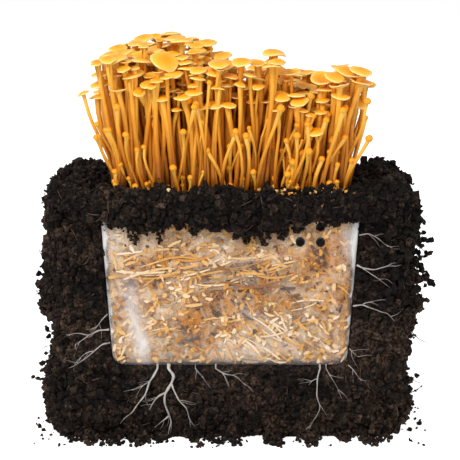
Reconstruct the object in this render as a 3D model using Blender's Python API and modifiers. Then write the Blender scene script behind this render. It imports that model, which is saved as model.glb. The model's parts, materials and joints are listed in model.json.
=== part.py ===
# Enoki grow kit: a clump of golden enoki on a bagged straw block, set in a block of potting soil
# that is cut open at the front. Metres, +Z up. The open face looks along -Y.
# The origin is the middle of the flat underside.

import math
import random

import bmesh
import bpy
from mathutils import Matrix, Vector, noise
from mathutils.bvhtree import BVHTree

MM = 0.001
GAP = 0.3 * MM  # left between pieces that touch

# Bag of film, and the block it holds
BAG_WIDTH = 160 * MM  # across the open top
BAG_DEPTH = 104 * MM
BAG_HEIGHT = 103 * MM
BAG_TAPER = 7.5 * MM  # how much each side comes in at the floor of the bag
BAG_FOOT_RADIUS = 9 * MM
BAG_CORNER_RADIUS = 4 * MM  # film pinched at the upright corners
BAG_BULGE = 2.2 * MM
BAG_CREASE = 1.0 * MM
FILM_THICKNESS = 0.6 * MM
BLOCK_CORNER_RADIUS = 14 * MM

# Air holes punched through the film near its upper right corner
VENT_DIAMETER = 5.5 * MM
VENT_PITCH_ACROSS = 12.4 * MM
VENT_PITCH_UP = 9.5 * MM
VENT_INSET_SIDE = 24.5 * MM  # bag's right edge to the nearer holes
VENT_INSET_TOP = 24 * MM  # bag's top to the lower holes
VENT_PIT_DEPTH = 5 * MM
VENT_SIDES = 8

# Soil round the bag
SOIL_BESIDE = 33 * MM
SOIL_BEHIND = 34 * MM
SOIL_BELOW = 47 * MM
SOIL_ABOVE = 6 * MM
SOIL_LAP = 5 * MM  # soil that laps over the rim of the bag
BAG_STANDS_PROUD = 3 * MM  # of the soil's cut face
SOIL_UPPER_RADIUS = 20 * MM
SOIL_LOWER_RADIUS = 24 * MM
SOIL_CELL = 13.4 * MM
CLOD_SPACING = 22 * MM
CLOD_HEIGHT = 9 * MM
CRUMB_HEIGHT = 4 * MM
CUT_FACE_SHARE = 0.5  # how much of those heights stands on the flat cut face
# How far each side stands in, at shares of the soil's height
LEFT_SIDE = [
    (0.0, 4 * MM), (0.2, 0.0), (0.33, 2 * MM), (0.46, -5 * MM), (0.6, 0.0), (0.85, 2 * MM),
    (1.0, 2 * MM),
]
RIGHT_SIDE = [
    (0.0, 9 * MM), (0.12, 6 * MM), (0.25, 2 * MM), (0.42, 1 * MM), (0.55, -1 * MM), (0.8, -1 * MM),
    (1.0, 0.0),
]

# Gap in the left side of the soil, where strands of mycelium come out
CRACK_HEIGHT = 63 * MM
CRACK_DEPTH = 13 * MM
CRACK_HALF_WIDTH = 6.5 * MM
CRACK_FULL_BACK = 20 * MM  # from the cut face, as deep as at the front
CRACK_REACH_BACK = 60 * MM  # from the cut face to where it closes

# Ridge of soil that spills over the bag's front rim
RIDGE_BACK = 1.2 * MM  # its core, in front of the bag's front face
RIDGE_HALF_DEPTH = 8.5 * MM
RIDGE_HALF_HEIGHT = 10 * MM
RIDGE_CORE_ABOVE_RIM = -1.5 * MM
RIDGE_OVERHANG = 24 * MM  # past the bag at each end, where it bends back into the soil
RIDGE_BEND_BACK = 17 * MM
RIDGE_STEP = 8.4 * MM
RIDGE_SIDES = 8
RIDGE_LUMPS = 0.5  # as a share of its half sizes
# Tongues of soil that hang down the film: place across, reach down, half width
RIDGE_TONGUES = [
    (-56 * MM, 9 * MM, 7 * MM),
    (-43 * MM, 6 * MM, 4 * MM),
    (-22 * MM, 3 * MM, 8 * MM),
    (11 * MM, 10 * MM, 10 * MM),
    (28 * MM, 4 * MM, 8 * MM),
    (70 * MM, -2 * MM, 7 * MM),
]

# Base of the clump: a mat over the block's top, with the young mushrooms that are still part of it
MAT_THICKNESS = 4 * MM
MAT_EDGE = 2.5 * MM
MAT_ROOT = 1.2 * MM  # how deep the young ones are set in it
YOUNG_COUNT = 53
YOUNG_SIDES = 5
YOUNG_TALL_SHARE = 0.74  # of them reach the canopy, the rest are pins with knobs
YOUNG_TALL_FORWARD = 0.75  # how far forward those stand, as a share of the way to the front row
PIN_HEIGHTS = (10 * MM, 15 * MM, 22 * MM, 32 * MM, 42 * MM, 52 * MM)

# Clump of grown mushrooms, heights measured from the mat, diameters as (least, most)
MUSHROOM_COUNT = 44
INNER_ROWS = 4  # behind the front row
INNER_CAPS = (11 * MM, 17 * MM)
INNER_STEMS = (3.0 * MM, 4.4 * MM)
INNER_BOWL_SHARE = 0.15
YOUNG_CAPS = (7 * MM, 11 * MM)
YOUNG_STEMS = (2.2 * MM, 3.0 * MM)
PIN_STEMS = (1.7 * MM, 2.4 * MM)
CLUMP_MARGIN = 5 * MM  # from the edge of the mat to the outermost feet
# Height of the canopy over the mat, at shares of the bag's half width
CANOPY = [
    (-1.0, 80 * MM), (-0.7, 88 * MM), (-0.3, 93 * MM), (-0.14, 78 * MM), (0.1, 71 * MM),
    (0.35, 70 * MM), (0.6, 67 * MM), (1.0, 62 * MM),
]
CANOPY_SPREAD = 1.12  # the clump is this much wider at its caps than at its feet
CAPS_FORWARD = 5 * MM  # of their feet, in the front row
STEM_SIDES = 6
FRONT_STEM_SIDES = 7

# Front row, left to right: foot across, cap across, cap height over the mat, cap diameter,
# stem diameter, lean of the cap sideways and towards the viewer in degrees, kind of cap.
# Places across are for a bag of FRONT_ROW_BAG_WIDTH and spread with the bag.
FRONT_ROW_BAG_WIDTH = 160 * MM
FRONT_ROW_STEP_BACK = 7 * MM  # the wider caps stand this much further in
FRONT_ROW_WIDE_CAP = 12
FRONT_ROW = [
    (-74, -89, 62, 8, 2.2, -25, 10, "dome"),
    (-72, -79, 73, 12.5, 3.0, -12, 8, "dome"),
    (-64, -70, 82, 17, 3.6, -8, 12, "dome"),
    (-56, -59, 74, 14.5, 3.6, 4, 14, "dome"),
    (-43, -55, 63, 8, 3.8, -8, 45, "dome"),
    (-29, -40, 81, 17, 5.4, 18, 42, "dome"),
    (-34, -41, 59, 8.5, 3.8, -12, 25, "dome"),
    (-12, -19, 76, 11, 4.2, -4, 18, "dome"),
    (-19, -26, 56, 7, 3.4, 0, 25, "knob"),
    (-2, -4, 79, 15, 4.6, 0, 16, "dome"),
    (14, 17, 78, 13, 3.6, 4, 12, "bowl"),
    (4, 28, 86, 16, 4.6, 6, 8, "dome"),
    (27, 31, 60, 11.5, 3.4, 4, 28, "dome"),
    (38, 42, 57, 11.5, 3.2, -6, 22, "dome"),
    (54, 49, 49, 6.5, 3.2, 8, 20, "dome"),
    (56, 57, 68, 17.5, 4.4, 2, 22, "bowl"),
    (65, 70, 75, 13.5, 3.6, 10, 20, "dome"),
    (71, 78, 77, 14, 3.6, 14, 16, "dome"),
    (72, 83, 56, 4.6, 2.0, 20, 10, "knob"),
]
# Cap outlines as shares of the cap's radius, from the neck out to the rim and over to the top:
# two (radius, height) pairs for the rim, one for the upper side, then the height of the top
CAP_OUTLINES = {
    "dome": ((0.97, -0.03), (1.0, 0.08), (0.62, 0.25), 0.34),
    "bowl": ((0.98, 0.34), (0.93, 0.44), (0.45, 0.24), 0.17),
    "knob": ((0.96, 0.45), (0.90, 1.00), (0.55, 1.45), 1.62),
}

# Strands of mycelium on the cut face: the bag edge that each leaves, the share along that edge,
# its thickness at the root, its route as (across, up) steps in millimetres, then side branches,
# each hanging on a numbered point of the route. Steps are drawn for soil this wide beside the bag
# and this deep below it, and stretch with both.
STRANDS_DRAWN_BESIDE = 33 * MM
STRANDS_DRAWN_BELOW = 47 * MM
STRANDS = [
    (
        "bottom", 0.20, 2.2 * MM,
        [(0, 0), (3.6, -4.5), (1.6, -9.5), (-2.4, -15), (-2.4, -23), (0, -31), (1.6, -36), (0, -41)],
        [
            (3, [(-3.5, -2), (-8, -6.5), (-10, -11)]),
            (2, [(1.8, -5), (4.8, -10.5), (9, -14.7), (10.5, -22.5), (15, -29)]),
            (5, [(-3, -2.5), (-6.5, -6)]),
        ],
    ),
    (
        "bottom", 0.145, 1.6 * MM,
        [(0, 0), (-5, -8), (-6.8, -14.8), (-13.2, -23.5), (-16, -28), (-24, -36)],
        [(1, [(-6, -3.5), (-11, -6)])],
    ),
    (
        "bottom", 0.43, 1.6 * MM,
        [(0, 0), (4.4, -3), (11.5, -3.8), (17.6, -10)],
        [(1, [(2, -3.8), (4, -8)])],
    ),
    (
        "bottom", 0.94, 1.7 * MM,
        [(0, 0), (-1.8, -6.4), (-1.8, -16.5), (0.4, -24.6), (-2.8, -32), (-6, -40)],
        [(1, [(-3, -1.5), (-5, -4)])],
    ),
    (
        "left", 0.235, 1.7 * MM,
        [(0, 0), (-6, -0.4), (-12.5, -3.4), (-19, -2), (-27, -3.4)],
        [(2, [(-4, -3), (-8.5, -6.4)])],
    ),
    (
        "left", 0.155, 1.6 * MM,
        [(0, 0), (-5, -1), (-10, -5), (-15.5, -10.4), (-21, -13), (-26, -16.5)],
        [(2, [(-5, -1), (-9, -5)])],
    ),
    (
        "right", 0.81, 1.4 * MM,
        [(0, 0), (5.2, 1), (11.6, -1.4), (17, -7)],
        [],
    ),
    (
        "right", 0.63, 1.7 * MM,
        [(0, 0), (3.6, -1.9), (11, -2.6), (21.5, 0), (28, -0.8)],
        [(1, [(4, -2.6), (9, -6), (15.5, -11)])],
    ),
    (
        "right", 0.38, 1.6 * MM,
        [(0, 0), (6, 1.5), (11.5, -1.6), (17, -3.8), (21, -3.8), (26, -10)],
        [(1, [(4, 1.6), (8.5, 2.4)])],
    ),
]
STRAND_POINT_SPACING = 7.5 * MM
STRAND_TIP_SHARE = 0.55  # thickness at the tip, as a share of the root's
STRAND_BRANCH_SHARE = 0.8
STRAND_LOWEST = 3.5 * MM  # above the underside

# Places that follow from the sizes above
BAG_FLOOR = SOIL_BELOW
BAG_RIM = SOIL_BELOW + BAG_HEIGHT
SOIL_WIDTH = BAG_WIDTH + 2 * SOIL_BESIDE
SOIL_DEPTH = BAG_DEPTH - BAG_STANDS_PROUD + SOIL_BEHIND
SOIL_HEIGHT = BAG_RIM + SOIL_ABOVE
SOIL_FRONT = -SOIL_DEPTH / 2
BAG_FRONT = SOIL_FRONT - BAG_STANDS_PROUD
BAG_MIDDLE = BAG_FRONT + BAG_DEPTH / 2
MAT_FLOOR = BAG_RIM + GAP
MAT_TOP = MAT_FLOOR + MAT_THICKNESS
FOOT_LEVEL = MAT_TOP + GAP


# Scene, collections and materials


def clear_scene():
    for old in list(bpy.data.objects):
        bpy.data.objects.remove(old)


def new_collection(name):
    collection = bpy.data.collections.new(name)
    bpy.context.scene.collection.children.link(collection)
    return collection


def principled(name, colour, roughness, alpha=1.0):
    material = bpy.data.materials.new(name)
    material.use_nodes = True
    shader = material.node_tree.nodes["Principled BSDF"]
    shader.inputs["Base Color"].default_value = (*colour, 1.0)
    shader.inputs["Roughness"].default_value = roughness
    shader.inputs["Metallic"].default_value = 0.0
    shader.inputs["Alpha"].default_value = alpha
    return material


def add_object(name, mesh, collection, material=None, smooth_below=None):
    """An object in its collection, shaded smooth up to an angle in degrees where one is given."""
    if smooth_below is not None:
        mesh.shade_smooth()
        mesh.set_sharp_from_angle(angle=math.radians(smooth_below))
    made = bpy.data.objects.new(name, mesh)
    collection.objects.link(made)
    if material is not None:
        made.data.materials.append(material)
    return made


def hide_helper(helper):
    helper.hide_render = True
    helper.display_type = "WIRE"
    return helper


def add_boolean(target, operation, operand):
    modifier = target.modifiers.new(f"{operation.lower()} {operand.name}", "BOOLEAN")
    modifier.operation = operation
    modifier.solver = "EXACT"
    modifier.object = operand
    return modifier


def evaluated_mesh(source):
    """A plain mesh of the object as its modifiers leave it."""
    bpy.context.view_layer.update()
    graph = bpy.context.evaluated_depsgraph_get()
    return bpy.data.meshes.new_from_object(source.evaluated_get(graph))


def apply_modifiers(target):
    mesh = evaluated_mesh(target)
    old = target.data
    target.modifiers.clear()
    target.data = mesh
    bpy.data.meshes.remove(old)


# Lofts


def loft(rings, name, tip=None, open_end=False):
    """A mesh through rings of equal length: the first is closed by a flat face, the last by a flat
    face, by a fan to a tip, or left open."""
    shape = bmesh.new()
    loops = [[shape.verts.new(point) for point in ring] for ring in rings]
    for low, high in zip(loops, loops[1:]):
        for i, start in enumerate(low):
            j = (i + 1) % len(low)
            # Always the same diagonal, so that nested surfaces stay clear of each other
            shape.faces.new((start, low[j], high[j]))
            shape.faces.new((start, high[j], high[i]))
    shape.faces.new(reversed(loops[0]))
    last = loops[-1]
    if tip is not None:
        top = shape.verts.new(tip)
        for i, start in enumerate(last):
            shape.faces.new((start, last[(i + 1) % len(last)], top))
    elif not open_end:
        shape.faces.new(last)
    mesh = bpy.data.meshes.new(name)
    shape.to_mesh(mesh)
    shape.free()
    return mesh


def tree_of(mesh):
    """A search tree of the mesh's faces, for asking what it meets."""
    points = [vertex.co.copy() for vertex in mesh.vertices]
    return BVHTree.FromPolygons(points, [tuple(face.vertices) for face in mesh.polygons])


# The pack: one family of nested surfaces that the bag, the block and the soil's pocket share


def side_relief(side, share, z):
    """How far the filled bag swells out at a share from -1 to 1 along one side, at height z."""
    up = max(0.0, min(1.0, (z - BAG_FLOOR) / BAG_HEIGHT))
    crown = (1 - share * share) * math.sin(math.pi * up)
    crease = noise.noise(Vector((share * 3.1 + side * 7, side * 5, up * 4.3)))
    return crown * (BAG_BULGE + BAG_CREASE * 2 * crease)


def pack_ring(height, inset, grow, corner):
    """One level of the pack. Sides are flat with swelling between round corners; grow moves the
    whole ring outwards."""
    up = height / BAG_HEIGHT
    half_width = BAG_WIDTH / 2 - BAG_TAPER * (1 - up)
    half_depth = BAG_DEPTH / 2
    z = BAG_FLOOR + height
    # Quarter turns: front, right, back, left, with the number of columns on each
    sides = [
        (half_width, half_depth, (-0.8, -0.5, -0.17, 0.17, 0.5, 0.8)),
        (half_depth, half_width, (-0.7, 0.0, 0.7)),
        (half_width, half_depth, (-0.75, 0.0, 0.75)),
        (half_depth, half_width, (-0.7, 0.0, 0.7)),
    ]
    ring = []
    for side, (along, away, shares) in enumerate(sides):
        turn = Matrix.Rotation(math.pi / 2 * side, 3, "Z")
        centre = Vector((along - inset + grow - corner, -(away - inset + grow - corner), 0))
        span = min(along, 0.97 * centre.x / max(shares))
        for share in shares:
            flat = Vector((span * share, -(away - inset + grow + side_relief(side, share, z)), 0))
            ring.append(turn @ flat)
        for angle in (0, 45, 90):
            spoke = Matrix.Rotation(math.radians(angle), 3, "Z") @ Vector((0, -corner, 0))
            ring.append(turn @ (centre + spoke))
    return [Vector((point.x, point.y + BAG_MIDDLE, z)) for point in ring]


def pack_rings(grow, corner, top=BAG_HEIGHT):
    """Levels of a surface that lies grow outside the film's outer face: a rounded foot, then
    the straight wall up to top."""
    rings = []
    radius = BAG_FOOT_RADIUS + grow
    for angle in (0, 38, 90):
        height = BAG_FOOT_RADIUS - radius * math.cos(math.radians(angle))
        inset = radius * (1 - math.sin(math.radians(angle)))
        rings.append(pack_ring(height, inset, grow, max(corner - inset, 0.4 * corner)))
    middle = (BAG_FOOT_RADIUS + BAG_HEIGHT) / 2
    rings.append(pack_ring(middle, 0.0, grow, corner))
    rings.append(pack_ring(top, 0.0, grow, corner))
    return rings


def vent_places():
    right = BAG_WIDTH / 2 - VENT_INSET_SIDE
    low = BAG_RIM - VENT_INSET_TOP
    for row in range(2):
        for column in range(2):
            yield right - column * VENT_PITCH_ACROSS, low + row * VENT_PITCH_UP


def make_vent_cutter(collection):
    """Four round pegs that punch the film and leave shallow pits in the block."""
    reach_in = FILM_THICKNESS + GAP + VENT_PIT_DEPTH
    reach_out = BAG_BULGE + 2 * BAG_CREASE + 2 * MM
    shape = bmesh.new()
    for x, z in vent_places():
        place = Matrix.Translation((x, BAG_FRONT + (reach_in - reach_out) / 2, z))
        bmesh.ops.create_cone(
            shape,
            cap_ends=True,
            segments=VENT_SIDES,
            radius1=VENT_DIAMETER / 2,
            radius2=VENT_DIAMETER / 2,
            depth=reach_in + reach_out,
            matrix=place @ Matrix.Rotation(math.pi / 2, 4, "X"),
        )
    mesh = bpy.data.meshes.new("vent pegs")
    shape.to_mesh(mesh)
    shape.free()
    return hide_helper(add_object("vent pegs", mesh, collection))


def make_block(collection, vent_pegs):
    straw = principled("straw and mycelium", (0.62, 0.42, 0.22), 0.85)
    rings = pack_rings(-FILM_THICKNESS - GAP, BLOCK_CORNER_RADIUS)
    block = add_object("substrate_block", loft(rings, "substrate_block"), collection, straw, 40)
    add_boolean(block, "DIFFERENCE", vent_pegs)
    return block


def make_bag(collection, vent_pegs):
    film = principled("clear film", (0.85, 0.86, 0.88), 0.25, alpha=0.35)
    rings = pack_rings(0.0, BAG_CORNER_RADIUS)
    bag = add_object("grow_bag", loft(rings, "grow_bag", open_end=True), collection, film, 40)
    wall = bag.modifiers.new("film thickness", "SOLIDIFY")
    wall.thickness = FILM_THICKNESS
    wall.offset = -1.0
    wall.use_even_offset = True
    add_boolean(bag, "DIFFERENCE", vent_pegs)
    return bag


# Soil


def clods(point):
    """Height of the lumps at a place: round clods from the distance to scattered centres, with
    crumbs over them."""
    near = noise.voronoi(point / CLOD_SPACING)[0][0]
    clod = 0.62 - min(near, 1.0)
    crumb = noise.noise(point / (0.35 * CLOD_SPACING))
    return clod * CLOD_HEIGHT + crumb * CRUMB_HEIGHT


def soil_grid():
    """A box with square-ish cells: a cube of the soil's size, cut through at even spacing."""
    shape = bmesh.new()
    bmesh.ops.create_cube(shape, size=1.0)
    bmesh.ops.scale(shape, vec=(SOIL_WIDTH, SOIL_DEPTH, SOIL_HEIGHT), verts=shape.verts)
    bmesh.ops.translate(shape, vec=(0, 0, SOIL_HEIGHT / 2), verts=shape.verts)
    starts = (-SOIL_WIDTH / 2, -SOIL_DEPTH / 2, 0.0)
    for axis, length in enumerate((SOIL_WIDTH, SOIL_DEPTH, SOIL_HEIGHT)):
        cells = max(4, round(length / SOIL_CELL))
        normal = Vector([1.0 if i == axis else 0.0 for i in range(3)])
        for cut in range(1, cells):
            place = normal * (starts[axis] + length * cut / cells)
            bmesh.ops.bisect_plane(
                shape, geom=shape.verts[:] + shape.edges[:] + shape.faces[:],
                plane_co=place, plane_no=normal, dist=1e-6,
            )
    return shape


def rounded(point):
    """The place on a rounded box that a point of the plain box moves to, and its way outwards."""
    up = point.z / SOIL_HEIGHT
    radius = SOIL_LOWER_RADIUS + (SOIL_UPPER_RADIUS - SOIL_LOWER_RADIUS) * up
    low = Vector((-SOIL_WIDTH / 2 + radius, -SOIL_DEPTH / 2 + radius, radius))
    high = Vector((SOIL_WIDTH / 2 - radius, SOIL_DEPTH / 2 - radius, SOIL_HEIGHT - radius))
    core = Vector([max(a, min(b, c)) for a, b, c in zip(low, point, high)])
    outwards = (point - core).normalized()
    return core + outwards * radius, outwards


def at_share(profile, share):
    """The value of a list of (share, value) pairs at a share, straight between them."""
    for (low, start), (high, end) in zip(profile, profile[1:]):
        if share <= high:
            return start + (end - start) * (share - low) / (high - low)
    return profile[-1][1]


def side_inset(point):
    """How far along X a point near either side moves inwards."""
    share = min(1.0, point.z / SOIL_HEIGHT)
    inset = at_share(LEFT_SIDE, share) if point.x < 0 else -at_share(RIGHT_SIDE, share)
    sideness = min(1.0, abs(point.x) / (SOIL_WIDTH / 2 - SOIL_UPPER_RADIUS))
    return inset * sideness**4


def crack_depth(point):
    """How far the crack in the left side pushes the surface in."""
    across = (point.z - CRACK_HEIGHT) / CRACK_HALF_WIDTH
    closing = (SOIL_FRONT + CRACK_REACH_BACK - point.y) / (CRACK_REACH_BACK - CRACK_FULL_BACK)
    return CRACK_DEPTH * math.exp(-across * across) * max(0.0, min(1.0, closing))


def behind_film(point):
    """Whether a place on the cut face is hidden by the front of the bag."""
    up = (point.z - BAG_FLOOR) / BAG_HEIGHT
    return up > 0 and abs(point.x) < BAG_WIDTH / 2 - BAG_TAPER * max(0.0, 1 - up)


def make_soil_block():
    shape = soil_grid()
    for vertex in shape.verts:
        flat = vertex.co.z < 1e-6
        place, outwards = rounded(vertex.co)
        on_cut_face = -outwards.y > 0.9
        height = clods(place)
        if on_cut_face:
            height = min(height * CUT_FACE_SHARE, 0.0 if behind_film(place) else CLOD_HEIGHT)
        if outwards.z > 0.9:
            height = height * 0.7
        if flat:
            outwards = Vector((outwards.x, outwards.y, 0.0))
        moved = place + outwards * height
        moved.x += side_inset(place)
        if outwards.x < -0.5:
            moved.x += crack_depth(place)
        vertex.co = moved
        vertex.co.z = 0.0 if flat else max(moved.z, 1.2 * MM)
    level = [face for face in shape.faces if all(v.co.z < 1e-6 for v in face.verts)]
    bmesh.ops.dissolve_faces(shape, faces=level)
    bmesh.ops.triangulate(shape, faces=shape.faces[:])
    mesh = bpy.data.meshes.new("soil")
    shape.to_mesh(mesh)
    shape.free()
    return mesh


def tongue_reach(x):
    return sum(reach * math.exp(-(((x - place) / half) ** 2)) for place, reach, half in RIDGE_TONGUES)


def make_ridge():
    """A lumpy roll along the rim, with tongues that hang in front of the film."""
    half_length = BAG_WIDTH / 2 + RIDGE_OVERHANG
    steps = round(2 * half_length / RIDGE_STEP)
    core_z = BAG_RIM + RIDGE_CORE_ABOVE_RIM
    rings = []
    for step in range(steps + 1):
        x = -half_length + 2 * half_length * step / steps
        past = max(0.0, abs(x) - BAG_WIDTH / 2 + 6 * MM) / (RIDGE_OVERHANG + 6 * MM)
        core_y = BAG_FRONT - RIDGE_BACK + RIDGE_BEND_BACK * past * past
        girth = 1 - 0.45 * past * past
        ring = []
        for side in range(RIDGE_SIDES):
            angle = 2 * math.pi * side / RIDGE_SIDES
            way = Vector((0, -math.cos(angle), math.sin(angle)))
            bump = noise.noise(Vector((x / (9 * MM), way.y * 2.1, way.z * 2.1 + 4)))
            lump = girth * (1 + RIDGE_LUMPS * bump)
            hang = tongue_reach(x) * max(0.0, -way.z)
            ring.append(
                Vector((
                    x + 2 * MM * noise.noise(Vector((x / (11 * MM), side * 1.7, 9))),
                    core_y + way.y * RIDGE_HALF_DEPTH * lump,
                    core_z + way.z * RIDGE_HALF_HEIGHT * lump - hang,
                ))
            )
        rings.append(ring)
    return loft(rings, "ridge")


def make_pocket():
    """What the bag takes out of the soil: the bag with a gap all round, and over its rim the
    smaller opening that the clump grows through."""
    corner = BAG_CORNER_RADIUS + GAP
    rings = pack_rings(GAP, corner, top=BAG_HEIGHT + GAP)
    mouth_height = BAG_HEIGHT + GAP
    mouth = pack_ring(mouth_height, SOIL_LAP, GAP, corner + SOIL_LAP)
    clear = Vector((0, 0, SOIL_ABOVE + RIDGE_HALF_HEIGHT + CLOD_HEIGHT * 2))
    rings.append(mouth)
    rings.append([point + clear for point in mouth])
    return loft(rings, "pocket")


def make_soil(collection, cutters):
    earth = principled("potting soil", (0.018, 0.012, 0.009), 0.95)
    soil = add_object("soil", make_soil_block(), collection, earth)
    ridge = hide_helper(add_object("ridge", make_ridge(), cutters))
    pocket = hide_helper(add_object("pocket", make_pocket(), cutters))
    add_boolean(soil, "UNION", ridge)
    add_boolean(soil, "DIFFERENCE", pocket)
    apply_modifiers(soil)
    return soil


# Mushrooms: a ring carried up the stem's curve, out under the cap, round its rim and over its top


def stem_curve(foot, neck, lean, bow):
    """Points on a cubic curve that leaves the mat upright and meets the cap along its axis."""
    length = (neck - foot).length
    first = foot + Vector((0, 0, length * 0.36)) + bow
    second = neck - lean * length * 0.3 + bow
    points = []
    for t in (0.0, 0.4, 0.8, 1.0):
        s = 1 - t
        points.append(foot * s**3 + first * 3 * s * s * t + second * 3 * s * t * t + neck * t**3)
    return points


def ring_about(centre, axis, radius, sides):
    across = Vector((1, 0, 0)) - axis * axis.x
    across.normalize()
    beyond = axis.cross(across)
    turns = [2 * math.pi * side / sides for side in range(sides)]
    return [centre + (across * math.cos(a) + beyond * math.sin(a)) * radius for a in turns]


def mushroom_mesh(spec, name, swell=0.0):
    """One mushroom as a closed loft. swell thickens it all round, for testing its room."""
    foot, neck, lean, bow, sides = spec["foot"], spec["neck"], spec["lean"], spec["bow"], spec["sides"]
    stem = spec["stem"] / 2
    cap = spec["cap"] / 2
    under_rim, rim, upper, top = CAP_OUTLINES[spec["kind"]]
    path = stem_curve(foot, neck, lean, bow)
    girth = (1.2, 0.95, 0.9, 1.12)
    rings = []
    for i, (point, share) in enumerate(zip(path, girth)):
        ahead = path[min(i + 1, len(path) - 1)] - path[max(i - 1, 0)]
        axis = Vector((0, 0, 1)) if i == 0 else (lean if i == len(path) - 1 else ahead.normalized())
        rings.append(ring_about(point, axis, stem * share + swell, sides))
    outline = [(under_rim, -swell), (rim, swell), (upper, swell)]
    if sides < FRONT_STEM_SIDES:
        outline = [(rim, -swell), (upper, swell)]
    for (radius, height), lift in outline:
        centre = neck + lean * (cap * height + lift)
        rings.append(ring_about(centre, lean, cap * radius + swell, sides))
    return loft(rings, name, tip=neck + lean * (cap * top + swell))


def leaning(sideways, forwards):
    """A unit axis leant by two angles in degrees, sideways towards +X and forwards towards -Y."""
    axis = Vector((math.tan(math.radians(sideways)), -math.tan(math.radians(forwards)), 1.0))
    return axis.normalized()


def clump_half_size():
    lap = SOIL_LAP + MAT_EDGE + CLUMP_MARGIN
    return BAG_WIDTH / 2 - lap, BAG_DEPTH / 2 - lap


def canopy_height(x):
    return at_share(CANOPY, max(-1.0, x / (BAG_WIDTH / 2)))


def front_specs():
    """The front row that the photograph shows, in two staggered lines near the front of the mat."""
    half_width, half_depth = clump_half_size()
    scale = MM * BAG_WIDTH / FRONT_ROW_BAG_WIDTH
    for foot_x, cap_x, height, cap, stem, sideways, forwards, kind in FRONT_ROW:
        foot_y = BAG_MIDDLE - half_depth + (FRONT_ROW_STEP_BACK if cap >= FRONT_ROW_WIDE_CAP else 0.0)
        yield {
            "foot": Vector((foot_x * scale, foot_y, FOOT_LEVEL)),
            "neck": Vector((cap_x * scale, foot_y - CAPS_FORWARD, FOOT_LEVEL + height * MM)),
            "lean": leaning(sideways, forwards),
            "cap": cap * MM,
            "stem": stem * MM,
            "kind": kind,
            "sides": FRONT_STEM_SIDES,
        }


def inner_specs(count, chance):
    """The rest of the clump: feet on a staggered grid behind the front row."""
    half_width, half_depth = clump_half_size()
    columns = math.ceil(count / INNER_ROWS)
    for i in range(count):
        row, column = i % INNER_ROWS, i // INNER_ROWS
        across = -1 + 2 * (column + 0.25 + 0.5 * (row % 2)) / columns
        back = -0.42 + 1.42 * row / (INNER_ROWS - 1)
        x = across * half_width + chance.uniform(-3, 3) * MM
        y = BAG_MIDDLE + back * half_depth + chance.uniform(-2.5, 2.5) * MM
        rise = canopy_height(x) * (1.0 - 0.10 * chance.random() ** 2) + chance.uniform(-4, 3) * MM
        out = Vector((across, back, 0)) * 12
        yield {
            "foot": Vector((x, y, FOOT_LEVEL)),
            "neck": Vector((
                x * CANOPY_SPREAD,
                BAG_MIDDLE + (y - BAG_MIDDLE) * (CANOPY_SPREAD + 0.06),
                FOOT_LEVEL + rise,
            )),
            "lean": leaning(out.x + chance.uniform(-9, 9), -out.y + chance.uniform(-9, 9)),
            "cap": chance.uniform(*INNER_CAPS),
            "stem": chance.uniform(*INNER_STEMS),
            "kind": "bowl" if chance.random() < INNER_BOWL_SHARE else "dome",
            "sides": STEM_SIDES,
        }


def varied(spec, attempt, chance):
    """The spec as given at the first attempt, then ever freer with its bow, depth and height."""
    changed = dict(spec)
    free = min(1.0, attempt / 40)
    shift = Vector((chance.uniform(-3, 3), chance.uniform(-9, 9), chance.uniform(-5, 3))) * MM * free
    step = Vector((chance.uniform(-2.5, 2.5), chance.uniform(-6, 6), 0)) * MM * free
    changed["bow"] = Vector((chance.uniform(-4, 4), chance.uniform(-4, 4), 0)) * MM
    changed["neck"] = spec["neck"] + shift
    half_width, half_depth = clump_half_size()
    foot = spec["foot"] + step
    foot.x = max(-half_width - 2 * MM, min(half_width + 2 * MM, foot.x))
    foot.y = max(BAG_MIDDLE - half_depth, min(BAG_MIDDLE + half_depth, foot.y))
    changed["foot"] = foot
    changed["cap"] = spec["cap"] * 0.97 ** max(0, attempt - 60)
    changed["cap"] = max(changed["cap"], spec["stem"] * 1.3)
    return changed


def find_room(spec, taken, chance, attempts=400):
    """The first variation of a mushroom that meets nothing already there, with a gap to spare."""
    for attempt in range(attempts):
        tried = varied(spec, attempt, chance)
        mesh = mushroom_mesh(tried, "trial", swell=GAP * 1.2)
        for vertex in mesh.vertices:
            vertex.co.z = max(vertex.co.z, FOOT_LEVEL)
        tree = tree_of(mesh)
        bpy.data.meshes.remove(mesh)
        if not any(tree.overlap(other) for other in taken):
            return tried, tree
    return None, None


def make_mushrooms(collection, soil):
    flesh = principled("golden mushroom flesh", (0.80, 0.42, 0.07), 0.5)
    chance = random.Random(20)
    taken = [tree_of(soil.data)]
    specs = list(front_specs())
    specs += list(inner_specs(MUSHROOM_COUNT - len(specs), chance))
    for number, spec in enumerate(specs, start=1):
        placed, tree = find_room(spec, taken, chance)
        if placed is None:
            print(f"no room for mushroom {number}")
            continue
        taken.append(tree)
        name = f"mushroom_{number:02d}"
        add_object(name, mushroom_mesh(placed, name), collection, flesh, 50)
    return taken


# Base of the clump


def tall_young_spec(chance):
    """A thin mushroom among the grown ones, with a small cap."""
    half_width, half_depth = clump_half_size()
    x = chance.uniform(-1, 1) * half_width
    y = BAG_MIDDLE + chance.uniform(-YOUNG_TALL_FORWARD, 1) * half_depth
    spread = CANOPY_SPREAD + 0.03
    rise = canopy_height(x) * chance.uniform(0.72, 1.0)
    return {
        "foot": Vector((x, y, MAT_TOP - MAT_ROOT)),
        "neck": Vector((x * spread, BAG_MIDDLE + (y - BAG_MIDDLE) * spread, MAT_TOP + rise)),
        "lean": leaning(chance.uniform(-12, 12), chance.uniform(-8, 12)),
        "cap": chance.uniform(*YOUNG_CAPS),
        "stem": chance.uniform(*YOUNG_STEMS),
        "kind": "dome",
    }


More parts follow.
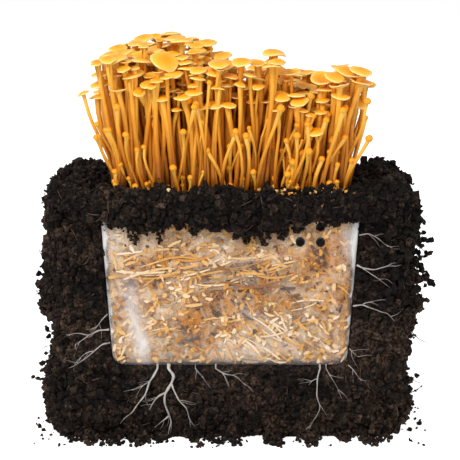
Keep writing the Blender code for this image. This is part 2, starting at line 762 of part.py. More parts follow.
def pin_spec(chance):
    """A young one with a knob for a cap. Most stand along the front of the mat."""
    half_width, half_depth = clump_half_size()
    x = chance.uniform(-1, 1) * half_width
    back = chance.random() ** 2 * 2 - 1
    foot = Vector((x, BAG_MIDDLE + back * half_depth, MAT_TOP - MAT_ROOT))
    lean = leaning(chance.uniform(-12, 12), chance.uniform(-4, 12))
    stem = chance.uniform(*PIN_STEMS)
    return {
        "foot": foot,
        "neck": foot + lean * chance.choice(PIN_HEIGHTS) * chance.uniform(0.85, 1.1),
        "lean": lean,
        "cap": stem * chance.uniform(1.5, 1.9),
        "stem": stem,
        "kind": "knob",
    }


def young_mesh(spec, name, swell=0.0):
    """A short loft: foot, neck, rim of the cap and tip."""
    stem = spec["stem"] / 2
    cap = spec["cap"] / 2
    lean, neck = spec["lean"], spec["neck"]
    _, (rim, rim_height), _, top = CAP_OUTLINES[spec["kind"]]
    up = Vector((0, 0, 1))
    rim_centre = neck + lean * cap * rim_height
    rings = [
        ring_about(spec["foot"], up, stem * 1.15 + swell, YOUNG_SIDES),
        ring_about(neck - lean * swell, lean, stem * 0.85 + swell, YOUNG_SIDES),
        ring_about(rim_centre - lean * swell, lean, cap * rim + swell, YOUNG_SIDES),
    ]
    return loft(rings, name, tip=neck + lean * (cap * top + 2 * swell))


def make_young(cutters, taken):
    """The young ones as one mesh, each clear of the grown ones and of each other."""
    chance = random.Random(5)
    joined = bmesh.new()
    here = list(taken)
    made = 0
    for _ in range(YOUNG_COUNT * 60):
        if made == YOUNG_COUNT:
            break
        tall = made < YOUNG_COUNT * YOUNG_TALL_SHARE
        spec = tall_young_spec(chance) if tall else pin_spec(chance)
        swollen = young_mesh(spec, "trial", swell=GAP * 1.5)
        tree = tree_of(swollen)
        bpy.data.meshes.remove(swollen)
        if any(tree.overlap(other) for other in here):
            continue
        here.append(tree)
        mesh = young_mesh(spec, "young")
        joined.from_mesh(mesh)
        bpy.data.meshes.remove(mesh)
        made += 1
    print(f"{made} young mushrooms on the mat")
    mesh = bpy.data.meshes.new("young ones")
    joined.to_mesh(mesh)
    joined.free()
    return hide_helper(add_object("young ones", mesh, cutters))


def make_clump_base(collection, cutters, taken):
    buff = principled("clump base", (0.60, 0.30, 0.06), 0.6)
    inset = SOIL_LAP + GAP
    low = pack_ring(BAG_HEIGHT, inset, 0.0, BAG_CORNER_RADIUS + inset)
    rim = pack_ring(BAG_HEIGHT, inset + MAT_EDGE, 0.0, BAG_CORNER_RADIUS + inset)
    rings = [
        [Vector((p.x, p.y, MAT_FLOOR)) for p in low],
        [Vector((p.x, p.y, MAT_FLOOR + 0.5 * MAT_THICKNESS)) for p in low],
        [Vector((p.x, p.y, MAT_TOP)) for p in rim],
    ]
    base = add_object("clump_base", loft(rings, "clump_base"), collection, buff, 40)
    add_boolean(base, "UNION", make_young(cutters, taken))
    return base


# Strands of mycelium


def strand_root(edge, share):
    """Where a strand leaves the bag, just outside the film."""
    out = 1.2 * MM
    if edge == "bottom":
        half = BAG_WIDTH / 2 - BAG_TAPER - BAG_FOOT_RADIUS
        return Vector((half * (2 * share - 1), 0, BAG_FLOOR - out))
    z = BAG_FLOOR + share * BAG_HEIGHT
    half = BAG_WIDTH / 2 - BAG_TAPER * (1 - share) + out
    return Vector((-half if edge == "left" else half, 0, z))


def even_points(route, spacing):
    """The route walked at about equal steps, corners kept."""
    points = [route[0]]
    for start, end in zip(route, route[1:]):
        steps = max(1, round((end - start).length / spacing))
        points += [start.lerp(end, step / steps) for step in range(1, steps + 1)]
    return points


def face_depth(soil_tree, x, z, reach):
    """The foremost place of the soil's cut face near a point."""
    found = []
    for dx, dz in ((0, 0), (1, 0), (-1, 0), (0, 1), (0, -1)):
        start = Vector((x + dx * reach, -1.0, z + dz * reach))
        hit = soil_tree.ray_cast(start, Vector((0, 1, 0)))[0]
        if hit is not None:
            found.append(hit.y)
    return min(found) if found else None


def strand_step(step):
    """A drawn step as metres on the cut face."""
    across, up = step
    return Vector((
        across * MM * SOIL_BESIDE / STRANDS_DRAWN_BESIDE,
        0,
        up * MM * SOIL_BELOW / STRANDS_DRAWN_BELOW,
    ))


def strand_tube(name, route, start_radius, end_radius, soil_tree, lift, start_depth=None):
    """A tube laid on the cut face along a route, tapering to its tip, as a closed mesh, and its points.

    A branch starts at the depth of the strand that it hangs on.
    """
    flat = [Vector((p.x, 0, max(p.z, STRAND_LOWEST))) for p in route]
    points = even_points(flat, STRAND_POINT_SPACING)
    curve = bpy.data.curves.new(name, "CURVE")
    curve.dimensions = "3D"
    curve.bevel_depth = 1.0
    curve.bevel_resolution = 0
    curve.use_fill_caps = True
    spline = curve.splines.new("POLY")
    laid = []
    for i, point in enumerate(points):
        share = i / (len(points) - 1)
        radius = start_radius + (end_radius - start_radius) * share
        # Soil under the point itself and half way to the ones beside it
        near = [point] + [(point + other) / 2 for other in points[max(i - 1, 0):i + 2]]
        depths = [face_depth(soil_tree, place.x, place.z, radius * 1.5) for place in near]
        if None in depths:
            break
        depth = min(depths) - radius - lift
        if i == 0 and start_depth is not None:
            depth = start_depth
        laid.append((point.x, depth, point.z, radius))
    spline.points.add(len(laid) - 1)
    for target, (x, y, z, radius) in zip(spline.points, laid):
        target.co = (x, y, z, 1.0)
        target.radius = radius
    tube = bpy.data.objects.new(name, curve)
    bpy.context.scene.collection.objects.link(tube)
    mesh = evaluated_mesh(tube)
    bpy.data.objects.remove(tube)
    shape = bmesh.new()
    shape.from_mesh(mesh)
    bmesh.ops.remove_doubles(shape, verts=shape.verts, dist=1e-6)
    bmesh.ops.recalc_face_normals(shape, faces=shape.faces)
    shape.to_mesh(mesh)
    shape.free()
    return mesh, laid


def make_strand(number, strand, soil_tree, collection, cutters, white):
    edge, share, thickness, steps, branches = strand
    name = f"mycelium_strand_{number}"
    root = strand_root(edge, share)
    route = [root + strand_step(step) for step in steps]
    start = thickness / 2
    end = start * STRAND_TIP_SHARE
    for lift in (GAP, 0.6 * MM, 0.9 * MM, 1.2 * MM, 1.6 * MM, 2.2 * MM):
        trunk, laid = strand_tube(name, route, start, end, soil_tree, lift)
        meshes = [trunk]
        for hang, offsets in branches:
            along = hang / (len(route) - 1)
            radius = (start + (end - start) * along) * STRAND_BRANCH_SHARE
            side = [route[hang]] + [route[hang] + strand_step(step) for step in offsets]
            joint = min(laid, key=lambda place: math.hypot(place[0] - side[0].x, place[2] - side[0].z))
            branch, _ = strand_tube(
                f"{name} branch", side, radius, radius * 0.6, soil_tree, lift, start_depth=joint[1],
            )
            meshes.append(branch)
        if not any(tree_of(mesh).overlap(soil_tree) for mesh in meshes):
            break
    main = add_object(name, meshes[0], collection, white, 60)
    for i, mesh in enumerate(meshes[1:]):
        branch = hide_helper(add_object(f"{name} branch {i + 1}", mesh, cutters))
        add_boolean(main, "UNION", branch)
    return main


def make_strands(collection, cutters, soil):
    white = principled("mycelium", (0.72, 0.68, 0.62), 0.7)
    soil_tree = tree_of(soil.data)
    for number, strand in enumerate(STRANDS, start=1):
        make_strand(number, strand, soil_tree, collection, cutters, white)


def main():
    clear_scene()
    kit = new_collection("enoki_grow_kit")
    cutters = new_collection("cutters")
    vent_pegs = make_vent_cutter(cutters)
    make_block(kit, vent_pegs)
    make_bag(kit, vent_pegs)
    soil = make_soil(kit, cutters)
    taken = make_mushrooms(kit, soil)
    make_clump_base(kit, cutters, taken)
    make_strands(kit, cutters, soil)


main()
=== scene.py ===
import json
import math
import bmesh
import bpy
import numpy as np
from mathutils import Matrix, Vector
from mathutils.bvhtree import BVHTree

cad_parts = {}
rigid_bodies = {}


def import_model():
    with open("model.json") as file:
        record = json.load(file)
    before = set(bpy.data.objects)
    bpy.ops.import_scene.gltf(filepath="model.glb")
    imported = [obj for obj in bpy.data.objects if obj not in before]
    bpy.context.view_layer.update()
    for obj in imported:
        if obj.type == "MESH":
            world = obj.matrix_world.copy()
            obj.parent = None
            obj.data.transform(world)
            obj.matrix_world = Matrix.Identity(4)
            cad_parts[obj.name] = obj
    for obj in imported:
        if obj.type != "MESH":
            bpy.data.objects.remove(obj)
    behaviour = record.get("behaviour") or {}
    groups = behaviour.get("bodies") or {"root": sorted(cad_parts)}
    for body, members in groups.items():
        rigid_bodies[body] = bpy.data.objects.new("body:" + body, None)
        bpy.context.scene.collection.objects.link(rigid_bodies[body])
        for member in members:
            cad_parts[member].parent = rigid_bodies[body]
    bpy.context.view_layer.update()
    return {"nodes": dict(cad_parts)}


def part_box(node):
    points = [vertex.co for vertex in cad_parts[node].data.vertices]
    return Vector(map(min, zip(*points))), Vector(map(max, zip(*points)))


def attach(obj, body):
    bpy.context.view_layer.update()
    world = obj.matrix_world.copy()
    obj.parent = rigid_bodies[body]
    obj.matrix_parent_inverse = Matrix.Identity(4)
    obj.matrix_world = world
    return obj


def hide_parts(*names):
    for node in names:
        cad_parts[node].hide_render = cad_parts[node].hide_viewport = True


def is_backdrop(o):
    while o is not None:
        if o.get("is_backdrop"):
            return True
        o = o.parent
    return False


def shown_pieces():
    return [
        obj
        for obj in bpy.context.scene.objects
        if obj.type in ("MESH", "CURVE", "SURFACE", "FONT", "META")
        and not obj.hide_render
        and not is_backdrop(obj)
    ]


# Enoki grow kit: looks for the packed soil block, bag, straw block and clump. Metres, open face towards -Y.
for startObject in list(bpy.data.objects):
    bpy.data.objects.remove(startObject)
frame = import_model()
nodes = frame["nodes"]
mm = 0.001
seeds = {"soil": 11, "crumbs": 12, "straw": 13, "film": 14, "clump": 15, "threads": 16, "roots": 17}

soilLow, soilHigh = (np.array(corner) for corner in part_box("soil"))
bagLow, bagHigh = (np.array(corner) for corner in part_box("grow_bag"))
bagMiddleY = 0.5 * (bagLow[1] + bagHigh[1])
bagHalfDepth = 0.5 * (bagHigh[1] - bagLow[1])
bagTopHalf = bagHigh[0]


# Noise and random turns, worked out as whole arrays

def latticeHash(i, j, k, seed):
    # whole numbers times large odd factors, their bits folded together, read as 0 to 1
    with np.errstate(over="ignore"):
        mixed = (i.astype(np.uint64) * np.uint64(374761393) + j.astype(np.uint64) * np.uint64(668265263)
                 + k.astype(np.uint64) * np.uint64(2147483629) + np.uint64(seed * 97531))
        mixed = (mixed ^ (mixed >> np.uint64(13))) * np.uint64(1274126177)
        mixed = mixed ^ (mixed >> np.uint64(16))
    return (mixed & np.uint64(0xFFFFFF)).astype(float) / 0xFFFFFF


def smoothNoise(points, size, seed):
    # values at the corners of a lattice of that size, blended by smooth steps; from -1 to 1
    place = points / size
    base = np.floor(place).astype(np.int64)
    part = place - base
    part = part * part * (3 - 2 * part)
    total = np.zeros(len(points))
    for corner in range(8):
        step = np.array([corner & 1, corner >> 1 & 1, corner >> 2 & 1])
        weight = np.prod(np.where(step, part, 1 - part), axis=1)
        total += weight * latticeHash(*(base + step).T, seed)
    return total * 2 - 1


def layeredNoise(points, size, seed, layers=3):
    # smooth noise with each further layer half the size and half the height
    return sum(smoothNoise(points, size / 2**n, seed + n) / 2**n for n in range(layers))


def cellNoise(points, size, seed):
    # distance to the nearest of one scattered point per lattice cell, in cells
    place = points / size
    base = np.floor(place).astype(np.int64)
    nearest = np.full(len(points), 9.0)
    for number in range(27):
        step = np.array([number % 3, number // 3 % 3, number // 9]) - 1
        cell = base + step
        spot = np.stack([latticeHash(*cell.T, seed + n) for n in range(3)], axis=1)
        nearest = np.minimum(nearest, np.linalg.norm(cell + spot - place, axis=1))
    return nearest


def randomTurns(chance, count):
    # rotation matrices from random unit quaternions
    q = chance.normal(size=(count, 4))
    w, x, y, z = (q / np.linalg.norm(q, axis=1, keepdims=True)).T
    rows = [1 - 2 * (y * y + z * z), 2 * (x * y - z * w), 2 * (x * z + y * w),
            2 * (x * y + z * w), 1 - 2 * (x * x + z * z), 2 * (y * z - x * w),
            2 * (x * z - y * w), 2 * (y * z + x * w), 1 - 2 * (x * x + y * y)]
    return np.stack(rows, axis=1).reshape(count, 3, 3)


def unit(vectors):
    # each vector over its length
    return vectors / np.maximum(np.linalg.norm(vectors, axis=-1, keepdims=True), 1e-12)


def bell(x, z, px, pz, radius):
    # falls off as a bell curve with the distance from one place of the face
    return np.exp(-((x - px) ** 2 + (z - pz) ** 2) / radius**2)


# Meshes from arrays

def linkObject(name, data):
    # a new object in the scene's collection
    holder = bpy.data.objects.new(name, data)
    bpy.context.scene.collection.objects.link(holder)
    return holder


def finishedMesh(holder):
    # the object's mesh with its modifiers worked out
    bpy.context.view_layer.update()
    return bpy.data.meshes.new_from_object(holder.evaluated_get(bpy.context.evaluated_depsgraph_get()))


def readArray(items, key, width, kind=float):
    # one row of numbers for each point, edge or face
    numbers = np.zeros(len(items) * width, kind)
    items.foreach_get(key, numbers)
    return numbers.reshape(-1, width)


def addPiece(name, points, faces, skin, smooth=True, uv=None, values=None, replaced=()):
    # points (n, 3), faces (m, 3 or 4), skin (material, slot; the slot is not used), uv one pair per face corner,
    # values {attribute: one number per point}
    material, slot = skin
    mesh = bpy.data.meshes.new(name)
    mesh.vertices.add(len(points))
    mesh.vertices.foreach_set("co", np.asarray(points, np.float32).ravel())
    corners = faces.shape[1]
    mesh.loops.add(len(faces) * corners)
    mesh.loops.foreach_set("vertex_index", np.asarray(faces, np.int32).ravel())
    mesh.polygons.add(len(faces))
    mesh.polygons.foreach_set("loop_start", np.arange(0, len(faces) * corners, corners, dtype=np.int32))
    mesh.polygons.foreach_set("use_smooth", np.full(len(faces), smooth))
    if uv is not None:
        layer = mesh.uv_layers.new(name="surface")
        layer.data.foreach_set("uv", np.asarray(uv, np.float32).ravel())
    for key, numbers in (values or {}).items():
        mesh.attributes.new(key, "FLOAT", "POINT").data.foreach_set("value", np.asarray(numbers, np.float32))
    mesh.update(calc_edges=True)
    mesh.materials.append(material)
    piece = linkObject(name, mesh)
    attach(piece, "root")
    if replaced:
        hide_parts(*replaced)
    return piece


def gridFaces(rows, columns):
    # two triangles for each cell between neighbouring rows, the last column joined to the first
    row, column = np.meshgrid(np.arange(rows - 1), np.arange(columns), indexing="ij")
    after = (column + 1) % columns
    a, b = row * columns + column, row * columns + after
    c, d = a + columns, b + columns
    return np.stack([np.stack([a, b, d], -1), np.stack([a, d, c], -1)], axis=2).reshape(-1, 3)


def fanFaces(ring, centre, inwards=False):
    # triangles from a ring of point numbers to one centre
    after = np.roll(ring, -1)
    faces = np.stack([ring, after, np.full(len(ring), centre)], axis=1)
    return faces[:, ::-1] if inwards else faces


def closedFaces(rows, columns):
    # a grid closed at its first and last row, each to one of the two points that follow the grid's own
    ring, count = np.arange(columns), rows * columns
    return np.concatenate([gridFaces(rows, columns), fanFaces(ring, count, True),
                           fanFaces(ring + count - columns, count + 1)])


def joined(parts):
    # several (points, faces, values, uv) as one, with the point numbers moved on
    points, faces, values, uvs, start = [], [], {}, [], 0
    for partPoints, partFaces, partValues, partUv in parts:
        points.append(partPoints)
        faces.append(partFaces + start)
        uvs.append(partUv)
        for key, numbers in partValues.items():
            values.setdefault(key, []).append(numbers)
        start += len(partPoints)
    values = {key: np.concatenate(numbers) for key, numbers in values.items()}
    uv = None if uvs[0] is None else np.concatenate(uvs)
    return np.concatenate(points), np.concatenate(faces), values, uv


def addJoined(name, parts, skin, **options):
    # several parts as one piece
    points, faces, values, uv = joined(parts)
    addPiece(name, points, faces, skin, uv=uv, values=values, **options)


def plainMesh(node):
    # the node's triangles with its doubled points merged, then its points and edges as arrays
    work = bmesh.new()
    work.from_mesh(node.data)
    bmesh.ops.remove_doubles(work, verts=work.verts, dist=1e-6)
    bmesh.ops.triangulate(work, faces=work.faces[:])
    mesh = bpy.data.meshes.new("plain")
    work.to_mesh(mesh)
    work.free()
    return mesh, readArray(mesh.vertices, "co", 3), readArray(mesh.edges, "vertices", 2, np.int64)


# Shared effects and materials

def feed(tree, socket, value):
    # a link where the value is another node's socket, else the value itself
    if isinstance(value, bpy.types.NodeSocket):
        tree.links.new(value, socket)
    else:
        socket.default_value = value


def addMaths(tree, operation, *values, clamp=False):
    # a maths node with its values in order, and its result
    made = tree.nodes.new("ShaderNodeMath")
    made.operation = operation
    made.use_clamp = clamp
    for socket, value in zip(made.inputs, values):
        feed(tree, socket, value)
    return made.outputs[0]


def mottleGroup():
    # two sizes of noise with contrast, and a height made of both
    group = bpy.data.node_groups.new("mottle", "ShaderNodeTree")
    sockets = [("Vector", "INPUT", "Vector"), ("Scale", "INPUT", "Float"), ("Contrast", "INPUT", "Float")]
    sockets += [(name, "OUTPUT", "Float") for name in ("Coarse", "Fine", "Height")]
    for name, way, kind in sockets:
        group.interface.new_socket(name, in_out=way, socket_type="NodeSocket" + kind)
    inside, outside = group.nodes.new("NodeGroupInput").outputs, group.nodes.new("NodeGroupOutput").inputs
    results = []
    for factor, name in ((1.0, "Coarse"), (4.3, "Fine")):
        noise = group.nodes.new("ShaderNodeTexNoise")
        noise.inputs["Detail"].default_value = 4.0
        feed(group, noise.inputs["Vector"], inside["Vector"])
        feed(group, noise.inputs["Scale"], addMaths(group, "MULTIPLY", inside["Scale"], factor))
        centred = addMaths(group, "SUBTRACT", noise.outputs["Fac"], 0.5)
        results.append(addMaths(group, "MULTIPLY_ADD", centred, inside["Contrast"], 0.5, clamp=True))
        feed(group, outside[name], results[-1])
    feed(group, outside["Height"], addMaths(group, "MULTIPLY_ADD", results[1], 0.5, results[0]))
    return group


mottle = mottleGroup()


class Finish:
    # a Principled material with short ways to add and join its nodes
    def __init__(self, name, roughness):
        self.material = bpy.data.materials.new(name)
        self.material.use_nodes = True
        self.tree = self.material.node_tree
        self.shader = self.tree.nodes["Principled BSDF"]
        self.set("Roughness", roughness)

    def set(self, name, value):
        feed(self.tree, self.shader.inputs[name], value)

    def add(self, kind, **settings):
        made = self.tree.nodes.new(kind)
        for key, value in settings.items():
            setattr(made, key, value)
        return made

    def join(self, value, socket):
        feed(self.tree, socket, value)

    def place(self, uv=False):
        return self.add("ShaderNodeTexCoord").outputs["UV" if uv else "Object"]

    def mottled(self, scale, contrast, vector=None):
        made = self.add("ShaderNodeGroup", node_tree=mottle)
        self.join(vector or self.place(), made.inputs["Vector"])
        made.inputs["Scale"].default_value = scale
        made.inputs["Contrast"].default_value = contrast
        return made.outputs

    def value(self, name):
        return self.add("ShaderNodeAttribute", attribute_name=name).outputs["Fac"]

    def ramp(self, factor, stops):
        made = self.add("ShaderNodeValToRGB")
        points = made.color_ramp.elements
        while len(points) < len(stops):
            points.new(0.5)
        for point, (place, colour) in zip(points, stops):
            point.position = place
            point.color = (*colour, 1.0)
        self.join(factor, made.inputs["Fac"])
        return made.outputs["Color"]

    def mix(self, factor, first, second):
        made = self.add("ShaderNodeMix", data_type="RGBA")
        for number, value in ((0, factor), (6, first), (7, second)):
            self.join((*value, 1.0) if isinstance(value, tuple) else value, made.inputs[number])
        return made.outputs[2]

    def maths(self, operation, *values, clamp=False):
        return addMaths(self.tree, operation, *values, clamp=clamp)

    def bump(self, height, strength, distance):
        made = self.add("ShaderNodeBump")
        for name, value in (("Height", height), ("Strength", strength), ("Distance", distance)):
            self.join(value, made.inputs[name])
        self.set("Normal", made.outputs["Normal"])


soilLook = {
    "black": (0.0042, 0.0038, 0.0037),
    "brown": (0.118, 0.076, 0.054),
    "rust": (0.22, 0.105, 0.05),
    "rustFrom": 0.9,  # fine noise above this gives a rust fleck
    "grainScale": 520,
    "grainContrast": 3.2,
    "shine": 0.10,
}


def soilFinish(name, lift):
    # from black to brown by coarse noise to the power 1.6 times the tint, with a few rust flecks; the tint holds
    # painted light on the soil's lumps and painted shade between them
    made = Finish(name, 0.9)
    grain = made.mottled(soilLook["grainScale"], soilLook["grainContrast"])
    tint = made.value("tint")
    depth = made.maths("MULTIPLY_ADD", tint, 1.0, lift)
    patch = made.maths("POWER", grain["Coarse"], 1.6)
    factor = made.maths("MULTIPLY", patch, depth, clamp=True)
    base = made.mix(factor, soilLook["black"], soilLook["brown"])
    spots = made.maths("GREATER_THAN", grain["Fine"], soilLook["rustFrom"])
    flecked = made.maths("MULTIPLY", spots, tint)
    made.set("Base Color", made.mix(flecked, base, soilLook["rust"]))
    made.bump(grain["Height"], 0.7, 0.9 * mm)
    made.set("Specular IOR Level", soilLook["shine"])
    return made.material


strawLook = {
    "tones": [(0.0, (0.065, 0.026, 0.010)), (0.14, (0.24, 0.080, 0.016)), (0.34, (0.59, 0.240, 0.022)),
              (0.56, (0.72, 0.370, 0.070)), (0.78, (0.81, 0.56, 0.27)), (1.0, (0.89, 0.71, 0.50))],
    "mauve": (0.31, 0.195, 0.120),
    "streakScale": 1500,
    "streakShare": 0.16,  # how far the streaks change a shred's tone
    "clumping": 0.34,  # how far tones agree over a few millimetres
}


def strawFinish():
    # the tint with fine streaks picks a tone, and the cool value mixes in mauve
    made = Finish("straw shreds", 0.75)
    streak = made.mottled(strawLook["streakScale"], 1.6)
    shade = made.maths("MULTIPLY_ADD", streak["Coarse"], strawLook["streakShare"], made.value("tint"))
    shade = made.maths("SUBTRACT", shade, strawLook["streakShare"] / 2, clamp=True)
    warm = made.ramp(shade, strawLook["tones"])
    made.set("Base Color", made.mix(made.value("cool"), warm, strawLook["mauve"]))
    made.bump(streak["Height"], 0.4, 0.3 * mm)
    return made.material


ventRadius = 2.75 * mm
ventPlaces = [(0.0555 - 0.0124 * column, 0.126 + 0.0095 * row) for row in range(2) for column in range(2)]
blockLook = {
    "tan": (0.62, 0.36, 0.13),
    "orange": (0.66, 0.245, 0.012),
    "mycelium": (0.81, 0.61, 0.42),
    "shade": (0.15, 0.085, 0.06),
    # painted shade: near black inside the air holes' pits
    "pit": (0.008, 0.006, 0.005),
    "patchScale": 80,
    "brokenScale": 260,
    "speckScale": 380,
    "darkFrom": 0.68,  # fine noise above this gives a dark speck
    "growthShare": 0.6,  # how much each of two noises adds to the mycelium
}


def blockFinish():
    # tan and orange, overgrown by the sum of two noises and the patch value, with painted shade: black in the air
    # holes' pits
    made = Finish("straw block", 0.85)
    patches = made.mottled(blockLook["patchScale"], 3.2)
    specks = made.mottled(blockLook["speckScale"], 2.6)
    warmth = made.maths("MULTIPLY_ADD", made.value("patch"), -2.2, specks["Coarse"], clamp=True)
    ground = made.mix(warmth, blockLook["tan"], blockLook["orange"])
    dark = made.maths("GREATER_THAN", specks["Fine"], blockLook["darkFrom"])
    ground = made.mix(dark, ground, blockLook["shade"])
    broken = made.mottled(blockLook["brokenScale"], 3.0)
    growth = made.maths("MULTIPLY_ADD", patches["Coarse"], blockLook["growthShare"], -0.06)
    growth = made.maths("MULTIPLY_ADD", broken["Coarse"], blockLook["growthShare"], growth)
    growth = made.maths("MULTIPLY_ADD", made.value("patch"), 2.4, growth, clamp=True)
    overgrown = made.mix(growth, ground, blockLook["mycelium"])
    # painted shade: a mask of the air holes' pits, painted near black
    place = made.add("ShaderNodeVectorMath", operation="MULTIPLY")
    made.join(made.place(), place.inputs[0])
    made.join((1, 0, 1), place.inputs[1])
    pitShadeMask = None
    for vx, vz in ventPlaces:
        away = made.add("ShaderNodeVectorMath", operation="DISTANCE")
        made.join(place.outputs[0], away.inputs[0])
        made.join((vx, 0, vz), away.inputs[1])
        inside = made.maths("LESS_THAN", away.outputs["Value"], ventRadius + 0.15 * mm)
        pitShadeMask = inside if pitShadeMask is None else made.maths("MAXIMUM", pitShadeMask, inside)
    made.set("Base Color", made.mix(pitShadeMask, overgrown, blockLook["pit"]))
    made.bump(specks["Height"], 0.8, 1 * mm)
    return made.material


filmLook = {
    "tone": (0.98, 0.96, 0.95),
    "roughness": 0.14,
    "clearAlpha": 0.005,
    "edgeAlpha": 0.08,
    "hazeAlpha": 0.90,
    "veil": 0.012,
    "cloudScale": 90,
    "refraction": 1.49,
}


def filmFinish():
    # nearly clear: its alpha is the haze and glint value, real haze with painted glints, plus a little at its
    # edges and in faint clouds
    made = Finish("clear film", filmLook["roughness"])
    made.set("Base Color", (*filmLook["tone"], 1.0))
    made.set("IOR", filmLook["refraction"])
    facing = made.add("ShaderNodeLayerWeight")
    made.join(0.35, facing.inputs["Blend"])
    rim = made.maths("MULTIPLY", facing.outputs["Fresnel"], filmLook["edgeAlpha"])
    cloud = made.mottled(filmLook["cloudScale"], 2.4)
    veil = made.maths("MULTIPLY", cloud["Coarse"], filmLook["veil"])
    # the haze and glint value makes the film white, as if lit, where glints are painted
    alpha = made.maths("MULTIPLY_ADD", made.value("hazeAndGlint"), filmLook["hazeAlpha"], filmLook["clearAlpha"])
    alpha = made.maths("ADD", made.maths("ADD", alpha, rim), veil, clamp=True)
    made.set("Alpha", alpha)
    made.bump(cloud["Fine"], 0.25, 0.6 * mm)
    return made.material


fleshLook = {
    "stem": [(0.0, (0.15, 0.036, 0.003)), (0.16, (0.44, 0.130, 0.005)), (0.42, (0.73, 0.285, 0.014)),
             (0.75, (0.94, 0.460, 0.045)), (1.0, (1.0, 0.59, 0.10))],
    "cap": [(0.0, (0.97, 0.32, 0.004)), (0.5, (0.99, 0.40, 0.012)), (0.88, (1.0, 0.52, 0.050)),
            (1.0, (1.0, 0.76, 0.30))],
    "under": (1.0, 0.62, 0.15),
    "deep": (0.50, 0.17, 0.005),
    "gills": 44,
    "roughness": 0.48,
    "shine": 0.32,
    "fibres": (9.0, 2.2),  # how fast the streaks change round and along a stem
    "blotchScale": 160,
    "blotchShare": (0.14, 0.12),  # how far the blotches change the tone of stem and cap
    "tintShare": -0.16,
    "streakShare": (0.24, 0.07),  # strength of the dark streaks on the stem and on top of the cap
    "subsurface": 0.22,
    "subsurfaceRadius": (1.0, 0.45, 0.12),
    "subsurfaceScale": 2.2 * mm,
}


def fleshFinish():
    # a stem's tone by height, lowered in the clump's middle as painted shade, a cap's by the distance from its
    # middle, darker along streaks
    made = Finish("mushroom flesh", fleshLook["roughness"])
    surface = made.add("ShaderNodeSeparateXYZ")
    made.join(made.place(uv=True), surface.inputs[0])
    fibre = made.add("ShaderNodeCombineXYZ")
    for name, factor in zip("XY", fleshLook["fibres"]):
        made.join(made.maths("MULTIPLY", surface.outputs[name], factor), fibre.inputs[name])
    made.join(made.value("tint"), fibre.inputs["Z"])
    streaks = made.mottled(1.6, 1.8, fibre.outputs[0])
    blotch = made.mottled(fleshLook["blotchScale"], 1.6)
    stemShare, capShare = fleshLook["blotchShare"]
    # the rise value is the height along the stem, lowered in the clump's middle as painted shade
    rise = made.maths("MULTIPLY_ADD", blotch["Coarse"], stemShare, made.value("rise"))
    rise = made.maths("MULTIPLY_ADD", made.value("tint"), fleshLook["tintShare"], rise)
    stem = made.ramp(rise, fleshLook["stem"])
    edge = made.maths("MULTIPLY_ADD", blotch["Fine"], capShare, made.value("edge"))
    cap = made.ramp(made.maths("SUBTRACT", edge, capShare / 2, clamp=True), fleshLook["cap"])
    # the "top" value is 0 on the stem, 0.5 under the cap and 1 on top of it
    top = made.value("top")
    isTop = made.maths("GREATER_THAN", top, 0.75)
    isUnder = made.maths("SUBTRACT", made.maths("GREATER_THAN", top, 0.25), isTop)
    colour = made.mix(isTop, stem, cap)
    colour = made.mix(isUnder, colour, fleshLook["under"])
    onStem, onCap = fleshLook["streakShare"]
    strength = made.maths("MULTIPLY_ADD", isTop, onCap - onStem, onStem)
    dark = made.maths("MULTIPLY", streaks["Coarse"], strength)
    made.set("Base Color", made.mix(dark, colour, fleshLook["deep"]))
    gill = made.maths("SINE", made.maths("MULTIPLY", surface.outputs["X"], 2 * math.pi * fleshLook["gills"]))
    height = made.maths("MULTIPLY_ADD", streaks["Fine"], 0.5, made.maths("MULTIPLY", gill, isUnder))
    made.bump(height, 0.35, 0.3 * mm)
    made.set("Subsurface Weight", fleshLook["subsurface"])
    made.set("Subsurface Radius", fleshLook["subsurfaceRadius"])
    made.set("Subsurface Scale", fleshLook["subsurfaceScale"])
    made.set("Specular IOR Level", fleshLook["shine"])
    return made.material


matLook = {
    "tones": [(0.0, (0.07, 0.022, 0.006)), (0.5, (0.30, 0.12, 0.02)), (1.0, (0.62, 0.34, 0.10))],
    "lumpScale": 260,
}
threadLook = {
    "dim": (0.36, 0.32, 0.29),
    "bright": (0.76, 0.73, 0.70),
    "faded": (0.13, 0.10, 0.085),  # towards the tips
    "fuzzScale": 900,
}
rootLook = {
    "dark": (0.020, 0.012, 0.008),
    "light": (0.13, 0.072, 0.040),
    "barkScale": 700,
}


def matFinish():
    # a tone picked by one noise
    made = Finish("clump base", 0.7)
    lumps = made.mottled(matLook["lumpScale"], 2.4)
    made.set("Base Color", made.ramp(lumps["Coarse"], matLook["tones"]))
    made.bump(lumps["Height"], 0.8, 1.2 * mm)
    return made.material


def threadFinish():
    # pale by a fine noise, dark by the fade value
    made = Finish("mycelium", 0.75)
    fuzz = made.mottled(threadLook["fuzzScale"], 1.8)
    pale = made.mix(fuzz["Coarse"], threadLook["dim"], threadLook["bright"])
    made.set("Base Color", made.mix(made.value("fade"), pale, threadLook["faded"]))
    made.bump(fuzz["Fine"], 0.5, 0.3 * mm)
    return made.material


def rootFinish():
    # dark to light brown by one noise
    made = Finish("root fibres", 0.85)
    bark = made.mottled(rootLook["barkScale"], 2.0)
    made.set("Base Color", made.mix(bark["Coarse"], rootLook["dark"], rootLook["light"]))
    made.bump(bark["Height"], 0.5, 0.3 * mm)
    return made.material


# Each finish with the slot of the pieces that wear it
soilSkin = (soilFinish("potting soil", 0.04), "potting_soil")
crumbSkin = (soilFinish("soil crumbs", 0.12), "potting_soil")
strawSkin = (strawFinish(), "straw_block")
blockSkin = (blockFinish(), "straw_block")
filmSkin = (filmFinish(), "clear_film")
fleshSkin = (fleshFinish(), "mushroom_flesh")
matSkin = (matFinish(), "clump_base")
threadSkin = (threadFinish(), "mycelium")
rootSkin = (rootFinish(), "potting_soil")
print("materials made")


